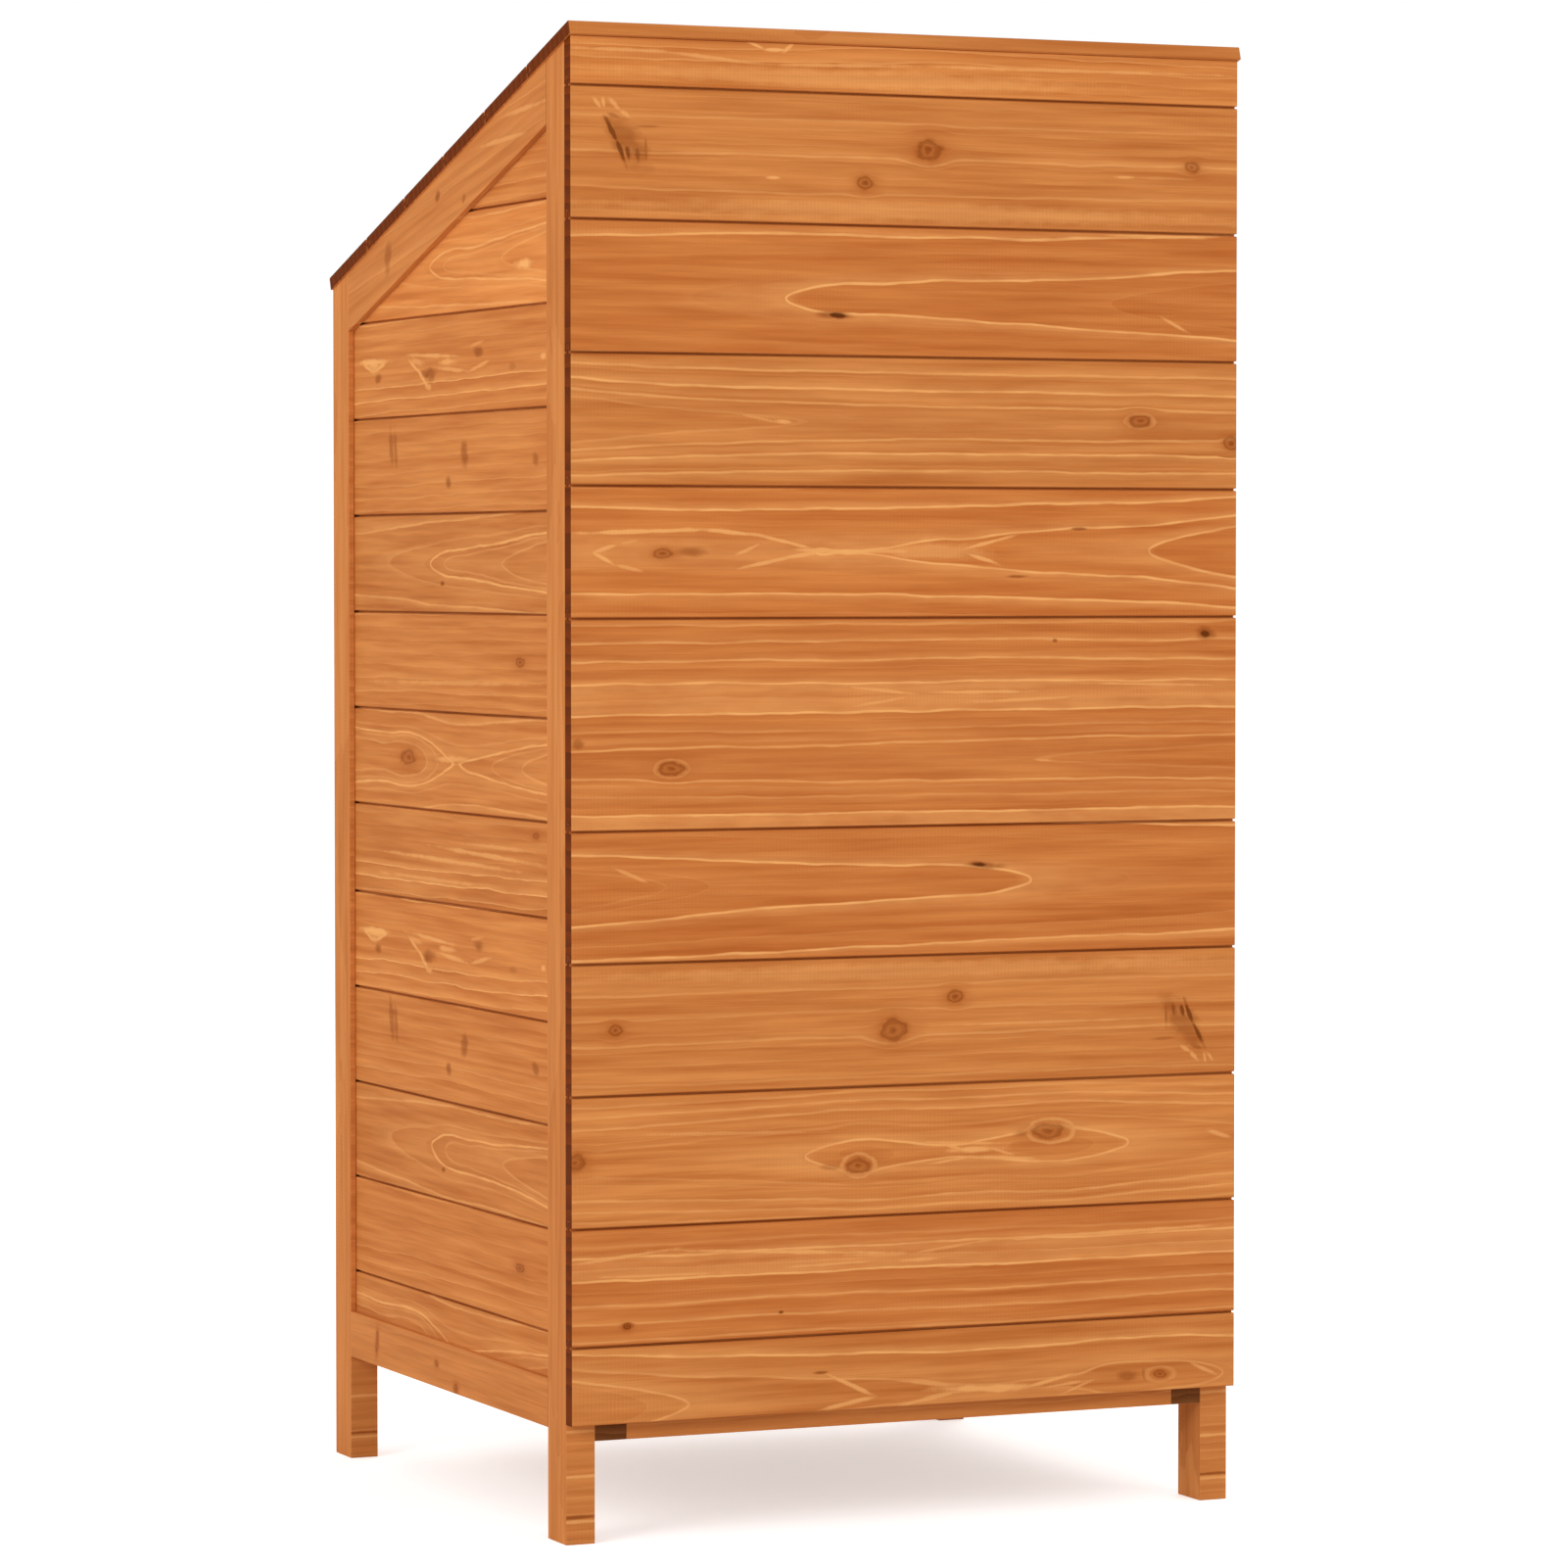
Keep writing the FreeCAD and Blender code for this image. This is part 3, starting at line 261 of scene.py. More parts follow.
class Grain:
    """The part of a shader that draws one piece's rings, fibres, knots and marks, with lengths in mm."""

    # A curve holds the heart's depth, from 0 to DEEPEST, over -REACH to REACH along the board. Its slope is taken
    # over STEP. Where a ring lies flatter than LEAST_STEEP, its edge spreads over the face.
    REACH = 300.0
    DEEPEST = 60.0
    STEP = 6.0
    LEAST_STEEP = 0.045
    # A knot is felt up to KNOT_REACH of its radii away. One stretched more than CUT_LENGTHWAYS was cut along its
    # length, lies in the grain and pushes no ring aside.
    KNOT_REACH = 3.0
    CUT_LENGTHWAYS = 2.3
    # Each cell can hold one chance knot. The cell counts as shorter than it is, which draws the knot out.
    CELL = (190.0, 70.0)
    CELL_COUNTS = (145.0, 70.0, 0.0)
    CELL_PUSH = 52.0
    LARGEST_CHANCE_KNOT = 7.0
    # How broad the line round a hollow mark is.
    OUTLINE = 3.4

    def __init__(self, tree: bpy.types.NodeTree, lay: Lay, figure: Figure) -> None:
        """Lays out the coordinates of the piece and draws its figure.

        Args:
            tree: The material's node tree.
            lay: How the grain lies.
            figure: What the rings look like.
        """
        self.tree, self.figure = tree, figure
        axes, tilted = lay.value
        place = put(tree, "TexCoord").node.outputs
        point, normal = put(tree, "VectorMath.SCALE", place["Object"], Scale=1 / MM), place["Normal"]
        if tilted:
            point, normal = [put(tree, "VectorRotate.X_AXIS", v, Angle=-ROOF_PITCH) for v in (point, normal)]
        parts = put(tree, "SeparateXYZ", point).node.outputs
        faces = put(tree, "SeparateXYZ", normal).node.outputs
        self.along, self.across, self.into = [parts[a] for a in axes]
        # The first mask picks the sawn ends; the second picks the long edges inside the seams, which get painted
        # shade.
        self.end, self.seam_shade_mask = [put(tree, "MapRange", put(tree, "Math.ABSOLUTE", faces[a]), 0.6, 0.8, 0.0, level)
                                for a, level in ((axes[0], 1.0), (axes[1], figure.joints))]
        if figure.banded_feet:
            rear = put(tree, "Math.GREATER_THAN", faces["Y"], 0.7)
            self.along, self.across = [put(tree, "Mix", rear, a, b) for a, b in
                                       ((self.along, self.across), (self.across, self.along))]
        self.cut = self.straight = self.tone = None
        self.strength = figure.strength
        self.local, self.chance = self.place_boards()
        self.height = self.across if figure.courses else self.local
        self.flat = put(tree, "CombineXYZ", self.along, self.height, 0.0)
        self.point = put(tree, "VectorMath.MULTIPLY_ADD", self.chance, (4000.0, 900.0, 900.0),
                         put(tree, "CombineXYZ", self.along, self.local, self.into))
        # Patches of 240 by 60 mm bend the rings and change the tone slowly, as a trunk's own growth does.
        self.broad = put(tree, "SeparateColor", self.noise(240, 60, 60)["Color"]).node.outputs
        # Waves of 35 by 11 mm keep a ring's edge from being a ruled line.
        self.fine = put(tree, "SeparateColor", self.noise(35, 11, 11)["Color"]).node.outputs
        # Fibres are finer than a pixel in the real wood, and are drawn 1 mm wide so that they show.
        self.fibre = self.noise(48, 1, 1, detail=1.0)["Fac"]
        # Bands of 130 by 6 mm are the broader streaks that the stain leaves in soft early wood.
        self.streak = self.noise(130, 6, 6, detail=3.0)["Fac"]
        self.away, self.push = self.knot_field()
        self.pale, self.dim = self.mark_field()
        self.lines, self.share = self.ring_lines(*self.heart_distance())

    def noise(self, *scale: float, detail: float = 2.0) -> bpy.types.bpy_prop_collection:
        """Adds smooth noise, stretched along the grain.

        Args:
            scale: Size of its patches along, across and into the wood, in mm.
            detail: How many finer layers it has.

        Returns:
            The node's outputs, a value and a colour.
        """
        spot = put(self.tree, "VectorMath.MULTIPLY", self.point, tuple(1 / s for s in scale))
        return put(self.tree, "TexNoise", spot, Scale=1.0, Detail=detail).node.outputs

    def place_boards(self) -> tuple[bpy.types.NodeSocket, bpy.types.NodeSocket]:
        """Finds the height on its own board of each point, and a chance colour for each board.

        Returns:
            The height from the board's middle in mm, and the colour.
        """
        tree, figure, courses = self.tree, self.figure, self.figure.courses
        if courses is None:
            local = put(tree, "Math.SUBTRACT", self.across, figure.middle)
            if figure.tilt:
                local = put(tree, "Math.MULTIPLY_ADD", self.along, figure.tilt, local)
            return local, put(tree, "TexWhiteNoise.1D", W=figure.seed + 0.5).node.outputs["Color"]
        above = put(tree, "Math.GREATER_THAN", self.across, courses.narrow_top)
        level = put(tree, "Math.MULTIPLY_ADD", above, courses.narrow_by, self.across)
        turn = put(tree, "Math.DIVIDE", put(tree, "Math.SUBTRACT", level, courses.start), courses.pitch)
        index = put(tree, "Math.FLOOR", turn)
        share = put(tree, "Math.SUBTRACT", put(tree, "Math.SUBTRACT", turn, index), 0.5)
        if courses.boards:
            places = 16
            rank = put(tree, "Math.DIVIDE", put(tree, "Math.ADD", index, 1.5), float(places))
            row = put(tree, "ValToRGB", rank, steps=True, stops=tuple(
                (i / places, (b.cut.value, b.tone + 0.5, b.strength, 1.0)) for i, b in enumerate(courses.boards)))
            self.cut, self.tone, self.strength = put(tree, "SeparateColor", row).node.outputs
            middle = (Cut.EYE.value + Cut.STRAIGHT.value) / 2
            self.straight = put(tree, "Math.GREATER_THAN", self.cut, middle)
        seeded = put(tree, "Math.ADD", index, figure.seed + 0.5)
        chance = put(tree, "TexWhiteNoise.1D", W=seeded).node.outputs["Color"]
        return put(tree, "Math.MULTIPLY", share, courses.pitch), chance

    def distance(self, spot: Knot | Mark, along: float, across: float) -> bpy.types.NodeSocket:
        """Measures how far each point is from the middle of a knot or mark.

        Args:
            spot: The knot or mark.
            along: Half its length.
            across: Half its width.

        Returns:
            The distance as a share of its half size.
        """
        turned = put(self.tree, "Mapping.TEXTURE", self.flat, (spot.along, spot.across, 0.0), (0.0, 0.0, spot.lean),
                     (along, across, 1.0))
        return put(self.tree, "VectorMath.LENGTH", turned)

    def knot_field(self) -> tuple[bpy.types.NodeSocket, bpy.types.NodeSocket]:
        """Measures how far each point is from a knot, and how far the knots push the rings aside.

        Returns:
            The distance in knot radii, and the push across the grain.
        """
        tree = self.tree
        nearest, push = 9.0, 0.0
        for knot in self.figure.knots:
            away = self.distance(knot, knot.radius * knot.stretch, knot.radius)
            nearest = put(tree, "Math.MINIMUM", nearest, away)
            if knot.stretch <= self.CUT_LENGTHWAYS:
                near = put(tree, "MapRange.SMOOTHSTEP", away, 0.4, self.KNOT_REACH, 0.7, 0.0)
                rise = put(tree, "Math.SUBTRACT", self.height, knot.across)
                push = put(tree, "Math.MULTIPLY_ADD", near, rise, push)
        if self.figure.chance_knots:
            cell = put(tree, "VectorMath.MULTIPLY", self.point, (1 / self.CELL[0], 1 / self.CELL[1], 0.0))
            cells = put(tree, "TexVoronoi", cell, Scale=1.0, Randomness=0.6).node.outputs
            apart = put(tree, "VectorMath.SUBTRACT", cell, cells["Position"])
            pick = put(tree, "SeparateColor", cells["Color"]).node.outputs["Red"]
            size = put(tree, "MapRange", pick, 0.5, 1.0, 0.01, self.LARGEST_CHANCE_KNOT)
            away = put(tree, "VectorMath.LENGTH", put(tree, "VectorMath.MULTIPLY", apart, self.CELL_COUNTS))
            away = put(tree, "Math.DIVIDE", away, size)
            nearest = put(tree, "Math.MINIMUM", nearest, away)
            near = put(tree, "MapRange.SMOOTHSTEP", away, 0.4, self.KNOT_REACH, self.CELL_PUSH, 0.0)
            rise = put(tree, "SeparateXYZ", apart).node.outputs["Y"]
            push = put(tree, "Math.MULTIPLY_ADD", near, rise, push)
        return nearest, push

    def mark_field(self) -> tuple[bpy.types.NodeSocket, bpy.types.NodeSocket]:
        """Draws the figure's flecks.

        Returns:
            How pale and how dark they make each point, from 0 to 1.
        """
        tree = self.tree
        wobble = put(tree, "MapRange", self.noise(16, 7, 7)["Fac"], 0.3, 0.7, -0.2, 0.2)
        shades = [0.0, 0.0]
        for mark in self.figure.marks:
            away = self.distance(mark, mark.length / 2, mark.width / 2)
            away = put(tree, "Math.MULTIPLY_ADD", wobble, 0.3 if mark.hollow else 1.0, away)
            if mark.hollow:
                away = put(tree, "Math.ABSOLUTE", put(tree, "Math.SUBTRACT", away, 0.85))
                away = put(tree, "Math.MULTIPLY", away, mark.width / self.OUTLINE)
            shade = put(tree, "MapRange.SMOOTHSTEP", away, 0.3, 1.0, abs(mark.strength), 0.0)
            dim = int(mark.strength < 0)
            shades[dim] = put(tree, "Math.MAXIMUM", shades[dim], shade)
        return tuple(shades)

    def heart_height(self) -> bpy.types.NodeSocket:
        """Finds how far each point lies above the heart line, once noise and knots have bent the grain.

        Returns:
            The height.
        """
        tree, wander = self.tree, self.figure.wander
        bend = put(tree, "MapRange", self.broad["Red"], 0.2, 0.8, -wander, wander)
        wave = put(tree, "MapRange", self.fine["Red"], 0.2, 0.8, -0.9, 0.9)
        across = put(tree, "Math.ADD", put(tree, "Math.ADD", self.local, bend), wave)
        across = put(tree, "Math.SUBTRACT", across, self.push)
        heart = self.figure.heart
        if self.straight is not None:
            heart = put(tree, "Math.MULTIPLY", self.straight, heart)
        return put(tree, "Math.SUBTRACT", across, heart)

    def heart_depth(self) -> tuple[bpy.types.NodeSocket, bpy.types.NodeSocket]:
        """Adds the depth of the log's heart under the face, which changes along the board.

        Returns:
            The depth in mm, and how steeply it changes.
        """
        tree, figure = self.tree, self.figure
        eye = None
        if figure.eye_depths and self.cut is not None:
            eye = put(tree, "Math.COMPARE", self.cut, Cut.EYE.value, 0.1)
        along = self.along
        if figure.shift:
            luck = put(tree, "SeparateXYZ", self.chance).node.outputs["X"]
            luck = put(tree, "Math.SUBTRACT", luck, 0.5)
            along = put(tree, "Math.MULTIPLY_ADD", luck, figure.shift, along)
        found = []
        for shift in (0.0, self.STEP):
            share = put(tree, "MapRange", along, -self.REACH - shift, self.REACH - shift, 0.0, 1.0)
            curves = []
            for depths in (figure.depths, figure.eye_depths) if eye else (figure.depths,):
                stops = tuple(((u + self.REACH) / (2 * self.REACH), d / self.DEEPEST) for u, d in sorted(depths))
                curves.append(put(tree, "FloatCurve", None, share, stops=stops))
            depth = put(tree, "Mix", eye, *curves) if eye else curves[0]
            found.append(put(tree, "Math.MULTIPLY", depth, self.DEEPEST))
        change = put(tree, "Math.SUBTRACT", found[1], found[0])
        return found[0], put(tree, "Math.DIVIDE", change, self.STEP)

    def heart_distance(self) -> tuple[bpy.types.NodeSocket, bpy.types.NodeSocket]:
        """Measures how far each point is from the log's heart.

        Returns:
            The distance, and how fast it changes over the face, which sets how wide a ring's edge looks.
        """
        tree, across = self.tree, self.heart_height()
        depth, slope = self.heart_depth()
        rise = put(tree, "Math.MULTIPLY", depth, slope)
        radius, reach = [put(tree, "VectorMath.LENGTH", put(tree, "CombineXYZ", across, level, 0.0))
                         for level in (depth, rise)]
        return radius, put(tree, "Math.MAXIMUM", put(tree, "Math.DIVIDE", reach, radius), self.LEAST_STEEP)

    def ring_lines(self, radius: bpy.types.NodeSocket,
                   steep: bpy.types.NodeSocket) -> tuple[bpy.types.NodeSocket, bpy.types.NodeSocket]:
        """Draws the pale edge and the fading band of each growth ring.

        Args:
            radius: Distance of each point from the log's heart in mm.
            steep: How fast that distance changes over the face.

        Returns:
            The strength of the ring edges from 0 to 1, and each point's share of its ring.
        """
        tree, figure = self.tree, self.figure
        turn = put(tree, "Math.DIVIDE", radius, figure.spacing)
        share = put(tree, "Math.FRACT", turn)
        ring = put(tree, "Math.ADD", put(tree, "Math.FLOOR", turn), figure.seed * 7.3)
        luck = put(tree, "TexWhiteNoise.1D", W=ring)
        weight = put(tree, "MapRange", luck, 0.25, 1.0, 0.08, self.strength)
        apart = put(tree, "Math.DIVIDE", put(tree, "Math.MULTIPLY", share, figure.spacing), steep)
        edge = put(tree, "MapRange.SMOOTHSTEP", apart, 0.4, 1.9, 1.0, 0.0)
        band = put(tree, "MapRange", share, 0.0, 0.55, 0.42, 0.0)
        lines = put(tree, "Math.MULTIPLY", put(tree, "Math.MAXIMUM", edge, band), weight)
        if not figure.rings:
            return lines, share
        chosen = self.chosen_rings(radius, steep)
        if self.straight is None:
            faint = put(tree, "Math.MULTIPLY", lines, 0.3)
            return put(tree, "Math.MAXIMUM", faint, chosen), share
        return put(tree, "Mix", self.straight, chosen, lines), share

    def chosen_rings(self, radius: bpy.types.NodeSocket, steep: bpy.types.NodeSocket) -> bpy.types.NodeSocket:
        """Draws the rings that the figure names: a fine pale edge each, and a soft band after it.

        Args:
            radius: Distance of each point from the log's heart in mm.
            steep: How fast that distance changes over the face.

        Returns:
            Their strength from 0 to 1.
        """
        tree, rings = self.tree, sorted(self.figure.rings)
        low, high = rings[0][0] - 10, rings[-1][0] + 14
        stops = [(0.0, 0.0)]
        for ring, level, *fill in rings:
            after = fill[0] if fill else 0.0
            for step, part in ((-0.5, stops[-1][1]), (0.2, 0.4 * level), (5.0, after)):
                stops.append((max((ring + step - low) / (high - low), stops[-1][0] + 0.0005), part))
        total = put(tree, "ValToRGB", put(tree, "MapRange", radius, low, high), stops=tuple(
            (p, (v, v, v, 1.0)) for p, v in stops[:32]))
        for ring, level, *_ in rings:
            apart = put(tree, "Math.ABSOLUTE", put(tree, "Math.SUBTRACT", radius, ring))
            apart = put(tree, "Math.DIVIDE", apart, steep)
            edge = put(tree, "MapRange.SMOOTHSTEP", apart, 0.4, 1.5, level, 0.0)
            total = put(tree, "Math.MAXIMUM", total, edge)
        return total


@dataclass(frozen=True)
class Fir:
    """Planed fir. Stain or air turns it orange-brown, darkest on end grain, which drinks most."""

    name: str
    slot: str
    dark: str
    light: str
    line: str
    end_dark: str
    end_light: str
    knot_dark: str
    # The pale brown of knots, which is also the painted shade on the board edges inside the seams.
    knot_light_and_seam_shade: str
    roughness: float = 0.55
    ripple_mm: float = 3.1

    def material(self, name: str, lay: Lay, figure: Figure) -> bpy.types.Material:
        """Makes the wood of one piece.

        Args:
            name: What the piece is.
            lay: How its grain lies.
            figure: What its rings look like.

        Returns:
            The material.
        """
        material, tree = new_material(f"{self.name}_{name}")
        grain = Grain(tree, lay, figure)
        fade = put(tree, "MapRange", grain.fine["Blue"], 0.35, 0.6, 0.62, 1.0)
        lines = put(tree, "Math.MAXIMUM", put(tree, "Math.MULTIPLY", grain.lines, fade), grain.pale)
        colour = put(tree, "Mix.RGBA", put(tree, "Math.MULTIPLY", lines, 0.85), self.face_colour(grain),
                     linear(self.line))
        pitch = put(tree, "MapRange", grain.dim, 0.6, 1.0)
        stain = put(tree, "Mix.RGBA", pitch, linear(self.knot_dark), linear(self.end_dark))
        colour = put(tree, "Mix.RGBA", grain.dim, colour, stain)
        colour = self.end_colour(grain, self.knot_colour(grain, colour))
        relief = put(tree, "Math.MULTIPLY_ADD", grain.streak, 0.5, grain.fibre)
        normal = put(tree, "Bump", 0.25, 0.0004, Height=relief)
        gloss = put(tree, "MapRange", grain.fibre, 0.3, 0.7, self.roughness - 0.06, self.roughness + 0.08)
        put(tree, "OutputMaterial", put(tree, "BsdfPrincipled", Base_Color=colour, Roughness=gloss, IOR=1.5,
                                        Specular_IOR_Level=0.02, Normal=normal))
        return material

    def face_colour(self, grain: Grain) -> bpy.types.NodeSocket:
        """Mixes the colour of the wood between its ring edges.

        Args:
            grain: The piece's grain.

        Returns:
            The colour.
        """
        tree, broad = grain.tree, grain.broad
        tone = put(tree, "MapRange", grain.streak, 0.3, 0.7, -0.12, 0.62)
        tone = put(tree, "Math.MULTIPLY_ADD", broad["Green"], 0.6, tone)
        tone = put(tree, "Math.MULTIPLY_ADD", grain.share, -0.18, tone)
        colour = put(tree, "Mix.RGBA", tone, linear(self.dark), linear(self.light))
        # Planer knives leave faint ripples across the grain, 3.1 mm apart, where the wood is softest.
        ripple = put(tree, "Math.SINE", put(tree, "Math.MULTIPLY", grain.along, math.tau / self.ripple_mm))
        soft = put(tree, "Math.MAXIMUM", put(tree, "MapRange", broad["Blue"], 0.5, 0.7, 0.0, 0.03), grain.pale)
        soft = put(tree, "Math.MINIMUM", soft, 0.035)
        value = put(tree, "Math.MULTIPLY_ADD", ripple, soft, 0.92)
        value = put(tree, "Math.MULTIPLY_ADD", grain.fibre, 0.2, value)
        extra = grain.figure.tone
        if grain.tone is not None:
            extra = put(tree, "Math.SUBTRACT", grain.tone, 0.5)
        elif grain.figure.courses is not None:
            board = put(tree, "SeparateXYZ", grain.chance).node.outputs["Z"]
            extra = put(tree, "MapRange", board, 0.0, 1.0, -0.05, 0.05)
        return put(tree, "VectorMath.SCALE", colour, Scale=put(tree, "Math.ADD", extra, value))

    def knot_colour(self, grain: Grain, colour: bpy.types.NodeSocket) -> bpy.types.NodeSocket:
        """Lays the knots over the wood: a dark heart, two rings and a brown edge that fades out.

        Args:
            grain: The piece's grain.
            colour: The wood's colour.

        Returns:
            The colour with knots.
        """
        if isinstance(grain.away, float):
            return colour
        tree, reach = grain.tree, grain.KNOT_REACH
        # Spots of 9 by 6 mm mottle the knots and keep them from being round.
        mottle = put(tree, "MapRange", grain.noise(9, 6, 6, detail=4.0)["Fac"], 0.3, 0.7, -0.22, 0.22)
        away = put(tree, "MapRange", put(tree, "Math.ADD", mottle, grain.away), 0.0, reach)
        stops = ((0.0, self.knot_dark, 0.85), (0.25, self.knot_dark, 0.7), (0.45, self.knot_light_and_seam_shade, 0.75),
                 (0.68, self.knot_dark, 0.62), (0.88, self.knot_dark, 0.74), (1.08, self.knot_light_and_seam_shade, 0.66),
                 (1.35, self.knot_light_and_seam_shade, 0.4), (1.8, self.knot_light_and_seam_shade, 0.2), (2.4, self.knot_light_and_seam_shade, 0.08),
                 (reach, self.dark, 0.0))
        knot = put(tree, "ValToRGB", away, stops=tuple(
            (place / reach, (*linear(code)[:3], alpha)) for place, code, alpha in stops)).node.outputs
        return put(tree, "Mix.RGBA", knot["Alpha"], colour, knot["Color"])

    def end_colour(self, grain: Grain, colour: bpy.types.NodeSocket) -> bpy.types.NodeSocket:
        """Paints brown shade on the seam edges and darkens the sawn ends, where the rings show as arcs.

        Args:
            grain: The piece's grain.
            colour: The colour of the faces.

        Returns:
            The colour of the whole piece.
        """
        tree = grain.tree
        tone = put(tree, "Math.MULTIPLY_ADD", grain.share, 0.6, put(tree, "Math.MULTIPLY", grain.fibre, 0.25))
        end = put(tree, "Mix.RGBA", tone, linear(self.end_light), linear(self.end_dark))
        # Painted shade: the board edges inside the seams are mixed towards a darker, redder brown, so the shadow
        # there looks brown.
        colour = put(tree, "Mix.RGBA", grain.seam_shade_mask, colour, linear(self.knot_light_and_seam_shade))
        return put(tree, "Mix.RGBA", grain.end, colour, end)


@dataclass(frozen=True)
class RoofingFelt:
    """Bitumen felt with mineral granules: a matt, speckled sheet that throws no highlight."""

    name: str = "bitumen_felt_granulated"
    slot: str = "roofing_felt"
    dark: str = "#26262A"
    light: str = "#5B5B5A"
    granule_mm: float = 1.5

    def material(self) -> bpy.types.Material:
        """Makes the felt.

        Returns:
            The material.
        """
        material, tree = new_material(self.name)
        place = put(tree, "TexCoord").node.outputs["Object"]
        # Real granules are 0.8 mm, and are drawn nearly twice as coarse so that they show.
        grit = put(tree, "TexVoronoi", place, Scale=1 / (self.granule_mm * MM)).node.outputs
        shade = put(tree, "SeparateColor", grit["Color"]).node.outputs["Red"]
        # Patches of about 110 mm hold darker or paler granules.
        patch = put(tree, "TexNoise", place, Scale=9.0, Detail=3.0)
        tone = put(tree, "Math.MULTIPLY_ADD", patch, 0.5, put(tree, "Math.MULTIPLY", shade, 0.6))
        colour = put(tree, "Mix.RGBA", tone, linear(self.dark), linear(self.light))
        normal = put(tree, "Bump", 0.5, 0.0005, Height=grit["Distance"], invert=True)
        put(tree, "OutputMaterial", put(tree, "BsdfPrincipled", Base_Color=colour, Roughness=0.92, Normal=normal))
        return material


@dataclass(frozen=True)
class ZincedSteel:
    """Steel with a zinc coat: matt grey, with faint crystals on pressed sheet and an even sheen on screws."""

    name: str
    slot: str
    dark: str
    light: str
    crystal_mm: float
    roughness: float

    def material(self) -> bpy.types.Material:
        """Makes the metal. The crystals differ in shade and gloss, and the edges keep the same coat.

        Returns:
            The material.
        """
        material, tree = new_material(self.name)
        place = put(tree, "TexCoord").node.outputs["Object"]
        # Waves of about 4 mm bend the edges of the crystals.
        bent = put(tree, "VectorMath.MULTIPLY_ADD", put(tree, "TexNoise", place, Scale=260.0).node.outputs["Color"],
                   (0.004, 0.004, 0.004), place)
        cells = put(tree, "TexVoronoi", bent, Scale=1 / (self.crystal_mm * MM)).node.outputs
        shade = put(tree, "SeparateColor", cells["Color"]).node.outputs["Red"]
        colour = put(tree, "Mix.RGBA", shade, linear(self.dark), linear(self.light))
        gloss = put(tree, "MapRange", shade, 0.0, 1.0, self.roughness + 0.08, self.roughness - 0.06)
        # Dimples of about 1 mm roughen the coat.
        normal = put(tree, "Bump", 0.12, 0.0001, Height=put(tree, "TexNoise", place, Scale=900.0))
        put(tree, "OutputMaterial", put(tree, "BsdfPrincipled", Base_Color=colour, Metallic=1.0, Roughness=gloss,
                                        Normal=normal))
        return material


# The boards show more contrast than the battens of the frame: deeper dark wood and paler rings.
STAINED_BOARD = Fir("fir_board_planed_stained", "stained_fir_boards", "#BA6A31", "#D98C4B", "#F8B36C", "#4E1E00",
                    "#7C3400", "#8A3E0E", "#B4622A")
STAINED_BATTEN = replace(STAINED_BOARD, name="fir_batten_planed_stained", slot="stained_fir_frame", dark="#BE7138",
                         light="#D88A4A", line="#F0AA66")
# Boards from nearer the heart of the log took the stain redder.
HEART_BOARD = replace(STAINED_BOARD, name="fir_heartwood_planed_stained", dark="#BA652D", light="#D78545")
BARE_BOARD = Fir("fir_planed_thinly_stained", "bare_fir", "#C98B55", "#DDAA74", "#EBC392", "#5A2F14", "#84502A",
                 "#8A4E28", "#B97A48", roughness=0.6)
FELT = RoofingFelt()
SHEET_STEEL = ZincedSteel("steel_sheet_galvanised", "galvanised_steel", "#A3A7AB", "#C4C8CB", 7.0, 0.42)
SCREW_STEEL = ZincedSteel("steel_screw_zinc_plated", "galvanised_steel", "#B4B7B9", "#CACCCE", 3.0, 0.3)
SCREW_METAL = SCREW_STEEL.material()


def dress(nodes: list[str], material: bpy.types.Material, bevel: float = 0.0) -> None:
    """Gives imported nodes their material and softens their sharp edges.

    Args:
        nodes: Names of the nodes.
        material: What they are made of.
        bevel: Width of the softened edges in mm, or 0 to leave them.
    """
    for name in nodes:
        node = frame["nodes"][name]
        node.data.materials.clear()
        node.data.materials.append(material)
        if bevel:
            weld = node.modifiers.new("joined_corners", "WELD")
            weld.merge_threshold = JOINED
            edges = node.modifiers.new("softened_edges", "BEVEL")
            edges.width = bevel * MM
            edges.segments = 2
            edges.limit_method = "ANGLE"
            edges.angle_limit = SHARP
            edges.harden_normals = False


def dress_wood(node: str, wood: Fir, lay: Lay, figure: Figure, bevel: float = 0.0,
               name: str = "") -> None:
    """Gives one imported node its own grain.

    Args:
        node: The node's name.
        wood: What it is made of.
        lay: How its grain lies.
        figure: What its rings look like.
        bevel: Width of the softened edges in mm, or 0 to leave them.
        name: What the material calls the piece, where it isn't the node's name.
    """
    dress([node], wood.material(name or node, lay, figure), bevel)


def middle_of(name: str, axis: int) -> float:
    """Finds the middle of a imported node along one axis.

    Args:
        name: The node.
        axis: 0 for X, 1 for Y, 2 for Z.

    Returns:
        The middle in mm.
    """
    low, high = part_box(name)
    return (low[axis] + high[axis]) / 2 / MM


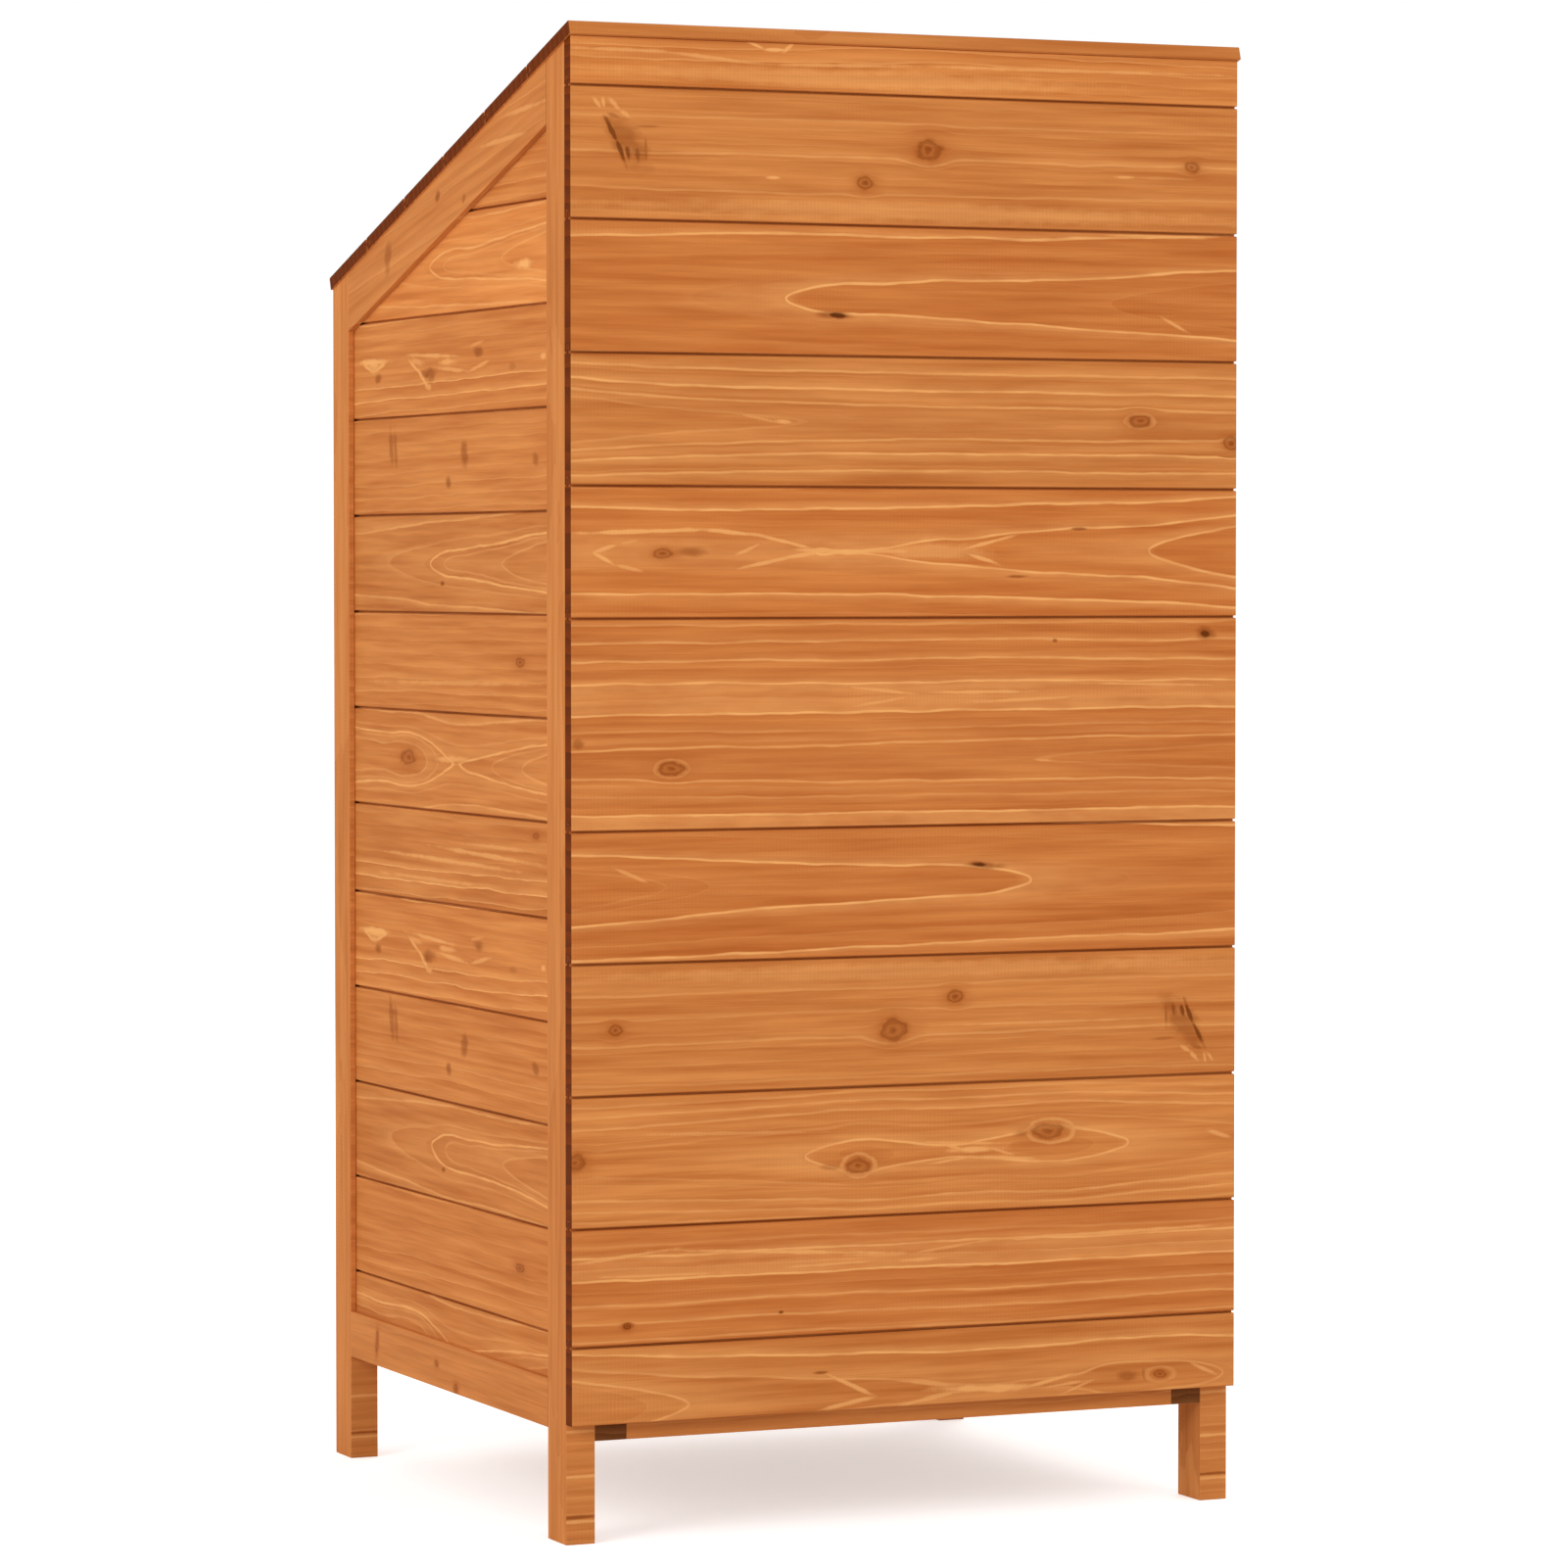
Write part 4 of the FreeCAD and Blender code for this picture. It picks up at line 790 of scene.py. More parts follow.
@dataclass(frozen=True)
class BackWall:
    """The eleven boards of the back, from the foot up; each has its own knots and rings, in mm."""

    seams: tuple[float, ...] = (89.5, 147.0, 234.5, 332.0, 429.5, 527.0, 683.5, 781.0, 878.5, 976.0, 1073.5, 1120.0)
    redder: tuple[int, ...] = (2, 5, 6, 7, 9)
    # A knot cut along its length, as dark and pale strokes over a brown patch.
    spike: tuple[Mark, ...] = (
        Mark(-230, -8, 60, 30, 0.9, -0.5), Mark(-215.5, -2, 26, 4, 1.55, -0.55), Mark(-222, 1.5, 19, 6, 1.45, -0.72),
        Mark(-229.5, 0.5, 19, 5.5, 1.35, -0.82), Mark(-235.5, -2, 34, 6, 1.2, -0.84),
        Mark(-242.5, -16, 34, 6.5, 1.08, -0.84), Mark(-241, -27, 16, 5, 0.3, -0.5), Mark(-232, -28.5, 14, 5, 0.46),
        Mark(-240, -35, 16, 5, 0.78), Mark(-249, -36, 11, 3.5, 1.4), Mark(-254, -36, 13, 4, 0.9),
        Mark(-226, 0, 13, 2.5, 1.35, 0.4), Mark(-232.5, -0.5, 12, 2.5, 1.3, 0.4), Mark(-214, -20, 30, 3, -0.02, -0.4))
    figures: tuple[Figure, ...] = (
        Figure(
            1, tone=-0.015, heart=-17, wander=1.2,
            depths=(
                (-275, 33), (-262, 32.2), (-240, 31), (-211, 30.4), (-165, 30.4), (-141, 31.9), (-113, 32.2),
                (-40, 32.3), (-20, 32), (0, 31.2), (20, 30.8), (54, 30), (82, 29.3), (144, 26.5), (182, 25),
                (199, 23.6), (233, 20), (275, 13.5)),
            rings=((25, 0.7), (32.4, 0.55), (43, 1.0)), knots=(Knot(-211, -16, 3.0, 1.8),),
            marks=(
                Mark(50, -10, 62, 4.5, 0.44, 0.75), Mark(53, -24, 66, 4.5, -0.17, 0.7),
                Mark(-16, -12.5, 70, 4.5, 0.14), Mark(-66, -19, 120, 9, 0.03, 0.85),
                Mark(-112, -17, 80, 4.5, -0.2, 0.75), Mark(-130, -19.5, 54, 4, -0.09, 0.65),
                Mark(-139, -22.5, 38, 4, -0.34), Mark(-16, -24, 70, 4.5, -0.16, 0.65),
                Mark(-250, -14.6, 42, 4.5, 0.43), Mark(-211, -16, 27, 13, 0.0, 0.3, True),
                Mark(74, 0.5, 16, 3, 0.0, -0.7), Mark(-183, -16.4, 26, 12, 0.0, -0.5),
                Mark(-197, -16, 12, 4, 1.4, -0.35))),
        Figure(
            2, tone=-0.03, heart=-190, wander=3,
            rings=(
                (152, 0.5), (165, 0.55), (178, 0.6), (196.5, 1.0, 0.35), (205, 0.5, 0.35), (214, 0.9, 0.05),
                (222, 0.3)),
            knots=(Knot(231, -29, 2.6),),
            marks=(
                Mark(60, 12, 360, 14, 0.0, 0.3), Mark(237, 22, 110, 4.5, -0.1, 0.7),
                Mark(100, 20, 270, 4.5, 0.057, 0.8), Mark(-30, 17.5, 100, 3.5, -0.11),
                Mark(-165, 22.5, 290, 4.5, -0.015, 0.7), Mark(210, 7.5, 170, 3.5, 0.01, 0.65),
                Mark(75, 9, 130, 3.5, -0.02, 0.65), Mark(-8, 9, 56, 6, 0.0, 0.7),
                Mark(30, 14.5, 110, 3.5, 0.04, 0.55), Mark(-20, 4, 70, 3.5, 0.08, 0.5),
                Mark(107, -25, 5, 3, 0.0, -0.8), Mark(231, -29, 13, 8, 0.0, -0.85))),
        Figure(
            3, tone=0.025, heart=-2, wander=2,
            depths=((-275, 29), (-183, 24), (-115, 20.6), (-57, 23.3), (-20, 23.4), (43, 21.4), (87, 24), (275, 30)),
            rings=((24, 0.9), (31, 0.25), (40, 0.55), (46, 0.5), (52, 0.4)),
            knots=(Knot(44, -10.3, 5.6, 1.75), Knot(-115, 9.8, 5.8, 2.25), Knot(272, 1, 6)),
            marks=(
                Mark(-52, -1.8, 64, 6, 0.0, 0.8), Mark(-40, 3.6, 95, 3.5, 0.05), Mark(-36, 0.5, 34, 3.5, 0.25, 0.7),
                Mark(-72, -3.0, 34, 3.5, 0.3), Mark(-33, -9.3, 54, 4, -0.12, 0.7), Mark(-75, -9.0, 80, 4, 0.06, 0.7),
                Mark(44, -10.3, 32, 20, 0.0, 0.65, True), Mark(-117, 9.8, 46, 21, 0.0, 0.7, True),
                Mark(150, 18, 200, 4, 0.02, 0.4), Mark(-262, 2, 34, 5, 0.3), Mark(66, -11, 22, 7, 0.1, -0.45),
                Mark(-93, 9, 18, 7, 0.0, -0.45))),
        Figure(
            4, heart=-110, rings=((75, 0.3), (104, 0.45), (122, 0.25), (140, 0.35, 0.12), (150, 0.2)), wander=3,
            knots=(Knot(240.5, 0, 4.5), Knot(15, -7, 8), Knot(-36, 17, 5)),
            marks=(Mark(0, 38, 700, 16, 0.0, 0.3), Mark(-115, -4.5, 260, 2.5, 0.0, 0.45), *spike)),
        Figure(
            5, tone=-0.03, heart=6,
            depths=((-275, 36), (-100, 30), (-60, 28.3), (-16, 27.2), (105, 24.7), (200, 20), (275, 15)),
            rings=((20, 0.2), (30, 1.0), (54, 0.95)), wander=2.5,
            marks=(
                Mark(228, 16.5, 40, 4, 0.38, 0.55), Mark(-59, 18, 46, 8, 0.05, -0.62),
                Mark(-56, 18.6, 25, 7.5, 0.05, -0.95))),
        Figure(
            6, tone=-0.03, heart=-30, wander=3,
            depths=((-275, 28), (-200, 29), (-110, 29.6), (0, 30.2), (200, 31), (275, 31.5)),
            rings=(
                (29.6, 0.25), (33.2, 0.65), (39.2, 0.35), (48.3, 1.0, 0.4), (57, 0.4, 0.4), (66.6, 1.0, 0.05),
                (82.5, 0.7), (95.9, 0.65), (109, 0.5)),
            knots=(Knot(195, -32.5, 5, 2.1),),
            marks=(
                Mark(-248, 65, 23, 14, 0.0, -0.6), Mark(-248, 65, 15, 10, 0.0, -0.92),
                Mark(-120, 60.6, 7, 5, 0.0, -0.7), Mark(270, -13.6, 14, 12, 0.0, -0.55),
                Mark(195, -32.5, 30, 15, 0.0, 0.5, True), Mark(-110, 20, 420, 13, -0.01, 0.3),
                Mark(-60, 22.3, 130, 4, 0.0, 0.8), Mark(-90, 16, 150, 4, -0.04, 0.7), Mark(20, 23.5, 90, 4, 0.1, 0.7),
                Mark(25, 15.5, 70, 4, -0.14), Mark(-200, 27, 150, 3.5, 0.02, 0.7), Mark(-110, -30, 26, 3, 0.1))),
        Figure(
            7, heart=1, wander=1.5,
            depths=(
                (-275, 11), (-200, 22), (-150, 24), (-100, 25.4), (-50, 28), (-20, 28.5), (0, 29.2), (20, 29.8),
                (60, 30), (80, 30), (95, 30.6), (150, 31), (275, 30.5)),
            rings=((22, 0.9), (30, 1.0), (44, 1.0)), knots=(Knot(202, -0.5, 3.6, 2.2),),
            marks=(
                Mark(180, 0.5, 32, 10, 0.0, -0.55), Mark(222, 15.3, 160, 4.5, -0.03, 0.85),
                Mark(148, 15, 72, 4.5, 0.09, 0.85), Mark(105, 8.3, 64, 4.5, 0.22, 0.85),
                Mark(120, -7.5, 62, 4.5, -0.2, 0.75), Mark(88, -1.5, 52, 4.5, -0.13, 0.8),
                Mark(248, 2.8, 32, 4.5, -0.3, 0.75), Mark(230, 7.3, 28, 4, -0.19, 0.5),
                Mark(249, -4.8, 31, 4.5, 0.46, 0.85), Mark(231, -11, 30, 4, 0.22), Mark(135, 1.8, 34, 4, -0.38, 0.7),
                Mark(-20, 1, 120, 15, 0.0, 0.5), Mark(70, 1.5, 84, 5, 0.02, 0.8), Mark(25, 1, 90, 5, 0.0, 0.7),
                Mark(-12, 10.5, 18, 3, 0.0, 0.5), Mark(-62, 7.3, 64, 4, -0.24, 0.8), Mark(-57, -3.8, 50, 4, 0.3, 0.8),
                Mark(-141, 18.3, 18, 3.5, 0.0, -0.65), Mark(-88, -17.8, 26, 3.5, 0.0, -0.65),
                Mark(202, -0.5, 24, 12, 0.0, 0.25, True))),
        Figure(
            8, tone=-0.025, heart=0, wander=1.5,
            depths=((-275, 30.3), (-200, 29.8), (0, 29.3), (100, 28.6), (150, 28), (200, 27), (275, 23)),
            rings=((28.7, 0.3), (32.1, 0.6), (37.9, 0.9), (47, 0.65)),
            knots=(Knot(-192, 3, 5, 1.9), Knot(-271, -13, 5)),
            marks=(
                Mark(105, -0.5, 22, 5, 0.1, 0.7), Mark(125, 2, 50, 3, 0.2, 0.4),
                Mark(-192, 3, 27, 13, 0.0, 0.6, True))),
        Figure(
            9, tone=-0.03, heart=-6,
            depths=((-275, 13.5), (-138, 23.6), (-56, 26.1), (25, 27.8), (65, 28), (103, 30), (275, 36)),
            rings=((30, 1.0), (55, 0.9)), wander=3,
            marks=(
                Mark(66, -18, 46, 8, 0.05, -0.62), Mark(61, -18.4, 25, 7.5, 0.05, -0.95),
                Mark(-222, -21, 32, 4, 0.45, 0.7), Mark(-205, 46.3, 130, 4.5, 0.0, 0.7))),
        Figure(
            10, heart=-120, rings=((84, 0.2), (100, 0.3), (125, 0.5), (150, 0.3)), wander=3,
            knots=(Knot(-14, 9, 8), Knot(38, -17, 5), Knot(-236, 2, 4.5)),
            marks=(
                Mark(113, -15, 14, 3, 0.0, 0.8), Mark(-180, -7, 26, 3, 0.0, 0.7), Mark(0, -38, 700, 18, 0.0, 0.3),
                Mark(-210, -7, 90, 3, 0.0, 0.3), *(replace(m, along=-m.along, across=-m.across) for m in spike))),
        Figure(
            11, tone=0.095, heart=-100, spacing=8, strength=0.6, wander=5,
            marks=(
                Mark(127, 10, 22, 4, 0.33, 1.0), Mark(113, 7.5, 26, 4, 0.0, 1.0), Mark(101, 9.5, 15, 4, -0.7, 0.9),
                Mark(40, -12, 520, 18, 0.0, 0.35), Mark(235, 3.3, 110, 4), Mark(160, -0.4, 112, 4, 0.082),
                Mark(60, -2.4, 167, 4, -0.022), Mark(-130, 0, 361, 4, -0.007))))

    def build(self) -> None:
        """Dresses the boards."""
        for number, figure in enumerate(self.figures, 1):
            middle = (self.seams[number - 1] + self.seams[number]) / 2
            wood = HEART_BOARD if number in self.redder else STAINED_BOARD
            # The board edges inside the seams get painted shade.
            dress_wood(f"back_board_{number:02d}", wood, Lay.WIDTH_UPRIGHT,
                       replace(figure, middle=middle, joints=0.6))


@dataclass(frozen=True)
class SideWalls:
    """The boards in the two sides, and the rails and posts round them."""

    courses: Courses = Courses(152.5, 77.0, 532.0, 5.5, (
        Board(Cut.EYE), Board(Cut.STRAIGHT, 0.03, 0.35), Board(Cut.LOOP, -0.025), Board(Cut.STRAIGHT, 0.02, 0.3),
        Board(Cut.STRAIGHT, 0.06, 0.85), Board(Cut.STRAIGHT, -0.02, 1.0), Board(Cut.EYE),
        Board(Cut.STRAIGHT, 0.0, 0.3), Board(Cut.LOOP, -0.05), Board(Cut.STRAIGHT, 0.01, 0.3),
        Board(Cut.STRAIGHT, 0.045, 0.85), Board(Cut.LOOP, 0.19), Board(Cut.STRAIGHT, 0.05, 0.3), Board()))
    loop_depths: tuple[tuple[float, float], ...] = ((-270, 37), (-38, 30), (0, 28), (60, 27), (150, 24), (270, 14))
    eye_depths: tuple[tuple[float, float], ...] = ((-270, 18), (-150, 23), (-90, 22), (-20, 28.5), (0, 29.8),
                                                  (50, 29.6), (100, 28.1), (158, 25.5), (218, 22.4), (270, 18))
    rings: tuple[tuple[float, float], ...] = ((25.5, 0.45), (28.3, 0.35), (30, 0.85), (44, 0.55))
    knots: tuple[Knot, ...] = (Knot(154, 650, 3.5, 2.6), Knot(-89, 572, 6, 2.6), Knot(186, 521, 2.6, 2.6),
                               Knot(152, 194, 3.5, 2.6))
    # Fans of pale fibre and brown smudges, which two boards of the right side share, 454.5 mm apart.
    fans: tuple[Mark, ...] = (
        Mark(-166, 885, 90, 8, 0.0, 0.95), Mark(-181, 881, 44, 5, -0.3, 0.8), Mark(-151, 881, 44, 5, 0.27, 0.8),
        Mark(-166, 882.5, 48, 7, 0.0, 0.8), Mark(-75, 879.3, 34, 5, -0.42, 0.75), Mark(-54, 868.5, 40, 6, -0.56, 0.8),
        Mark(-42, 861.8, 20, 6, -0.1), Mark(-68, 882.3, 40, 7, -0.12, 0.45), Mark(-167, 879, 28, 8, 0.0, 0.65),
        Mark(-34, 886, 144, 4.5, -0.04, 0.7), Mark(0, 880, 56, 6, 0.0, 0.65), Mark(13, 873.7, 95, 4.5, -0.07),
        Mark(70, 875, 66, 4.5, 0.17, 0.55), Mark(64, 892, 36, 4, 0.1, 0.4), Mark(203, 878, 15, 7, 0.0, 0.7),
        Mark(-157, 872, 22, 10, 0.0, -0.6), Mark(-40, 872, 40, 15, 0.0, -0.55), Mark(-45, 871, 18, 9, 0.0, -0.65),
        Mark(68, 886, 30, 11, 0.0, -0.6), Mark(64, 886, 14, 7, 0.0, -0.55), Mark(140, 872.5, 22, 8, 0.0, -0.3),
        Mark(-127, 818, 42, 15, -1.4, -0.5), Mark(-117, 815, 38, 13, -1.4, -0.45), Mark(37, 808, 27, 21, 1.5, -0.55),
        Mark(2, 787, 13, 16, 1.5, -0.6), Mark(187, 801, 13, 18, 1.2, -0.5))
    apart: tuple[float, float] = (-2.0, -454.5)
    single: tuple[Mark, ...] = (
        Mark(163, 948, 54, 10, 0.0, 1.0), Mark(-11, 709, 12, 5, 0.0, -0.7), Mark(-12, 253, 12, 5, 0.0, -0.7),
        Mark(10, 573, 110, 7, 0.02, 0.7), Mark(80, 502, 280, 5, -0.02), Mark(10, 494, 380, 5, -0.01),
        Mark(110, 509, 220, 4, 0.0, 0.45), Mark(-40, 478, 330, 5, 0.0, 0.45), Mark(0, 632, 400, 5, 0.01, 0.45))
    # Height and strength of the bands across the rear face of each leg.
    foot_bands: tuple[tuple[float, float], ...] = ((84.0, 0.75), (50.5, 0.85), (20.5, -0.7), (17.0, 0.8))

    def build(self) -> None:
        """Dresses the boards, posts and rails of both sides."""
        shape = {"heart": -130.0, "courses": self.courses, "depths": self.loop_depths, "eye_depths": self.eye_depths,
                 "rings": self.rings, "spacing": 10.0, "wander": 3.5}
        along, across = self.apart
        again = tuple(replace(m, along=m.along + along, across=m.across + across) for m in self.fans)
        right = Figure(20, knots=self.knots, marks=self.fans + self.single + again, **shape)
        left = Figure(33, chance_knots=True, shift=160.0, **shape)
        for side, figure in (("right", right), ("left", left)):
            dress_wood(f"side_boards_{side}", STAINED_BOARD, Lay.DEPTH_UPRIGHT, figure, name=f"{side}_side")
        for seed, side in enumerate(("left", "right"), 40):
            self.dress_posts(side, seed * 3)
            self.dress_rails(side, seed)

    def dress_posts(self, side: str, seed: int) -> None:
        """Dresses the front and the rear post of one side.

        Args:
            side: Left or right.
            seed: What sets their chance figure.
        """
        for place, tone in (("front", 0.03), ("rear", 0.0)):
            name = f"{place}_post_{side}"
            middle = middle_of(name, 0)
            bands = tuple(Mark(middle, z - middle, 90, 3.4, 0.0, level) for z, level in self.foot_bands)
            figure = Figure(seed, middle, heart=-60, spacing=6.5, strength=0.35, wander=3, tone=tone, marks=bands,
                            banded_feet=True)
            dress_wood(name, STAINED_BATTEN, Lay.POST, figure, SOFT_EDGE)

    def dress_rails(self, side: str, seed: int) -> None:
        """Dresses the bottom and the top rail of one side.

        Args:
            side: Left or right.
            seed: What sets their chance figure.
        """
        bottom = Figure(seed * 5, middle_of(f"side_bottom_rail_{side}", 2), heart=-50, spacing=7, strength=0.5,
                        wander=4, knots=(Knot(-151, 1, 3, 3.0, 1.4), Knot(-15, 0, 2.5), Knot(28, -14, 3.5)))
        top = Figure(seed * 7, 990.0, heart=-160, spacing=26, strength=0.4, wander=4, tilt=-0.2,
                     marks=(Mark(-7, 19, 13, 13, 0.0, -0.65), Mark(-120, 0, 36, 20, 1.4, -0.45),
                            Mark(50, 3, 11, 10, 0.0, -0.45), Mark(177, 37, 120, 5, -0.13),
                            Mark(130, 26, 130, 5, -0.15)))
        for place, figure in (("bottom", bottom), ("top", top)):
            dress_wood(f"side_{place}_rail_{side}", STAINED_BATTEN, Lay.DEPTH_UPRIGHT, figure, SOFT_EDGE)


@dataclass(frozen=True)
class CrossRails:
    """The rails between the two sides."""

    stained: tuple[str, ...] = ("front_bottom_rail", "lintel", "rear_bottom_rail")
    bare: tuple[str, ...] = ("rear_top_rail", "door_stop")

    def build(self) -> None:
        """Dresses the rails."""
        for seed, name in enumerate(self.stained + self.bare, 50):
            figure = Figure(seed, middle_of(name, 2), heart=-55, spacing=7, strength=0.45, wander=4,
                            chance_knots=True)
            wood = STAINED_BATTEN if name in self.stained else BARE_BOARD
            # The rear bottom rail is in the bare wood's slot, and shows from outside with the frame's stain.
            dress_wood(name, wood, Lay.WIDTH_UPRIGHT, figure, SOFT_EDGE)


@dataclass(frozen=True)
class Inside:
    """Floor, shelves and what carries them, of the same fir with a thin coat of stain."""

    floor: Courses = Courses(-225.6, 97.0)
    shelf: Courses = Courses(-223.1, 96.8)
    bars: tuple[str, ...] = ("floor_bearer", "lower_shelf_batten", "upper_shelf_batten")

    def build(self) -> None:
        """Dresses the floor, the shelves, the bearers and the battens."""
        rows = (("floor_boards", self.floor, 0.0), ("lower_shelf", self.shelf, SOFT_EDGE),
                ("upper_shelf", self.shelf, SOFT_EDGE))
        for seed, (name, courses, bevel) in enumerate(rows, 60):
            figure = Figure(seed, heart=-70, spacing=9, strength=0.7, wander=6, chance_knots=True, courses=courses)
            dress_wood(name, BARE_BOARD, Lay.WIDTH_FLAT, figure, bevel)
        for seed, name in enumerate([f"{bar}_{side}" for bar in self.bars for side in ("left", "right")], 70):
            figure = Figure(seed, middle_of(name, 2), heart=-40, spacing=6, strength=0.5, wander=4)
            dress_wood(name, BARE_BOARD, Lay.DEPTH_UPRIGHT, figure, SOFT_EDGE)


@dataclass(frozen=True)
class Roof:
    """The sloping roof: boards across it, felt on them, and the felt's nails."""

    upper_edge: tuple[float, float] = (269.905, 1120.0)
    board_pitch: float = 92.0
    board_count: int = 6
    felt_top: float = 1.2
    felt_half_width: float = 268.5
    felt_from: float = 8.0
    felt_to: float = 541.1
    edge_inset: float = 13.0
    nail_pitch: float = 66.0
    nail_head: float = 4.6
    nail_height: float = 1.0
    nail_sides: int = 20
    # Radius and height of the head's outline, as shares of nail_head and nail_height.
    nail_outline: tuple[tuple[float, float], ...] = ((0.0, 1.0), (0.55, 0.97), (0.88, 0.8), (1.0, 0.45), (0.97, 0.0),
                                                     (0.3, 0.0))

    def on_slope(self, x: float, down: float, lift: float) -> Vector:
        """Finds a point on the roof.

        Args:
            x: Place across the cabinet in mm.
            down: Distance down the slope from its upper edge in mm.
            lift: Distance above the boards in mm.

        Returns:
            The point in metres.
        """
        y, z = self.upper_edge
        cos, sin = math.cos(ROOF_PITCH), math.sin(ROOF_PITCH)
        return Vector((x, y - down * cos - lift * sin, z - down * sin + lift * cos)) * MM

    def build(self) -> None:
        """Dresses the boards and the felt and drives the nails."""
        y, z = self.upper_edge
        top = y * math.cos(ROOF_PITCH) + z * math.sin(ROOF_PITCH)
        # The board edges, in the seams and at the eaves, get a little painted shade.
        figure = Figure(80, heart=-70, spacing=9, strength=0.6, wander=5, joints=0.2, chance_knots=True,
                        courses=Courses(top - self.board_pitch * self.board_count, self.board_pitch))
        dress_wood("roof_boards", STAINED_BOARD, Lay.ROOF_BOARD, figure, name="roof")
        dress(["roof_felt"], FELT.material())
        self.drive_nails()

    def drive_nails(self) -> None:
        """Makes the clout nails along the four edges of the felt as one piece."""
        chance = random.Random(5)
        side = self.felt_half_width - self.edge_inset
        first, last = self.felt_from + self.edge_inset, self.felt_to - self.edge_inset
        columns, rows = round(2 * side / self.nail_pitch), round((last - first) / self.nail_pitch)
        spots = [(-side + 2 * side * i / columns, d) for i in range(columns + 1) for d in (first, last)]
        spots += [(s * side, first + (last - first) * i / rows) for i in range(1, rows) for s in (-1, 1)]
        turns = [math.tau * i / self.nail_sides for i in range(self.nail_sides)]
        outlines = [([r * self.nail_head] * self.nail_sides, h * self.nail_height) for r, h in self.nail_outline]
        mesh = bmesh.new()
        for x, down in spots:
            spot = self.on_slope(x + chance.uniform(-2, 2), down + chance.uniform(-1.5, 1.5), self.felt_top)
            turn = Matrix.Rotation(ROOF_PITCH, 4, "X") @ Matrix.Rotation(chance.uniform(-0.05, 0.05), 4, "Y")
            loft(mesh, outlines, turns, Matrix.Translation(spot) @ turn)
        place_piece("felt_clout_nails", mesh, "carcass", SCREW_METAL)


def loft(mesh: bmesh.types.BMesh, outlines: list[tuple[list[float], float]], turns: list[float],
         place: Matrix) -> None:
    """Adds a solid to a mesh, as rings of points one below the other.

    Args:
        mesh: The mesh that gets it.
        outlines: Radii in all directions and height of each ring in mm, from the top down; a ring without radius is
            one point.
        turns: The directions in radians.
        place: Where the axis stands; its Z is the axis.
    """
    rings = []
    for radii, height in outlines:
        spots = [Vector((r * math.cos(t), r * math.sin(t), height)) * MM for r, t in zip(radii, turns)]
        rings.append([mesh.verts.new(place @ spot) for spot in (spots if radii[0] else spots[:1])])
    for upper, lower in zip(rings, rings[1:]):
        for i in range(len(turns)):
            k = (i + 1) % len(turns)
            corners = [upper[i % len(upper)], lower[i], lower[k]]
            if len(upper) > 1:
                corners.append(upper[k])
            mesh.faces.new(corners)
    for ring in (rings[0], rings[-1][::-1]):
        if len(ring) > 1:
            mesh.faces.new(ring)


def place_piece(name: str, mesh: bmesh.types.BMesh, body: str, material: bpy.types.Material) -> None:
    """Turns a finished mesh into a piece that rides on a body.

    Args:
        name: The piece's name.
        mesh: Its mesh, in metres in the row frame.
        body: The body it moves with.
        material: What it is made of.
    """
    bmesh.ops.recalc_face_normals(mesh, faces=mesh.faces)
    data = bpy.data.meshes.new(name)
    mesh.to_mesh(data)
    mesh.free()
    data.materials.append(material)
    data.shade_smooth()
    data.set_sharp_from_angle(angle=math.radians(40))
    piece = add_object(name, data)
    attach(piece, body)


@dataclass(frozen=True)
class Screw:
    """A pan-head screw with a cross recess, in mm."""

    head_radius: float = 3.3
    head_height: float = 1.5
    shank_radius: float = 1.65
    shank_length: float = 9.0
    slot_reach: float = 1.75
    slot_half: float = 0.42
    slot_depth: float = 0.95
    sides: int = 32

    def recess_radius(self, turn: float) -> float:
        """Finds how far the cross recess reaches in one direction.

        Args:
            turn: The direction in radians.

        Returns:
            The distance from the axis in mm.
        """
        x, y = abs(math.cos(turn)), abs(math.sin(turn))
        reach = max(x, y)
        arm = min(self.slot_half / max(min(x, y), 1e-6), self.slot_reach / reach)
        return max(arm, self.slot_half * math.sqrt(2))

    def add(self, mesh: bmesh.types.BMesh, place: Matrix) -> None:
        """Adds one screw to a mesh.

        Args:
            mesh: The mesh that gets it.
            place: Where the head sits; its Z points out of the wood.
        """
        turns = sorted({round(math.tau * i / self.sides, 6) for i in range(self.sides)}
                       | {round(q * math.pi / 2 + s * math.atan2(self.slot_half, r), 6) % round(math.tau, 6)
                          for q in range(4) for s in (-1, 1) for r in (self.slot_reach, self.slot_half)})
        crown, rim, depth = self.head_height, self.head_radius, self.slot_depth
        # Shares of the recess with their heights, then radii of the round outside with theirs.
        recess = ((0.35, crown - depth), (0.8, crown - 0.6 * depth), (1.0, crown))
        outside = ((0.68 * rim, crown * 0.985), (0.86 * rim, crown * 0.87), (0.96 * rim, crown * 0.62),
                   (rim, crown * 0.3), (0.985 * rim, 0.0), (self.shank_radius, 0.0),
                   (self.shank_radius, -0.8 * self.shank_length), (0.3, -self.shank_length))
        outlines = [([share * self.recess_radius(t) for t in turns], height) for share, height in recess]
        outlines += [([radius] * len(turns), height) for radius, height in outside]
        loft(mesh, outlines, turns, place)


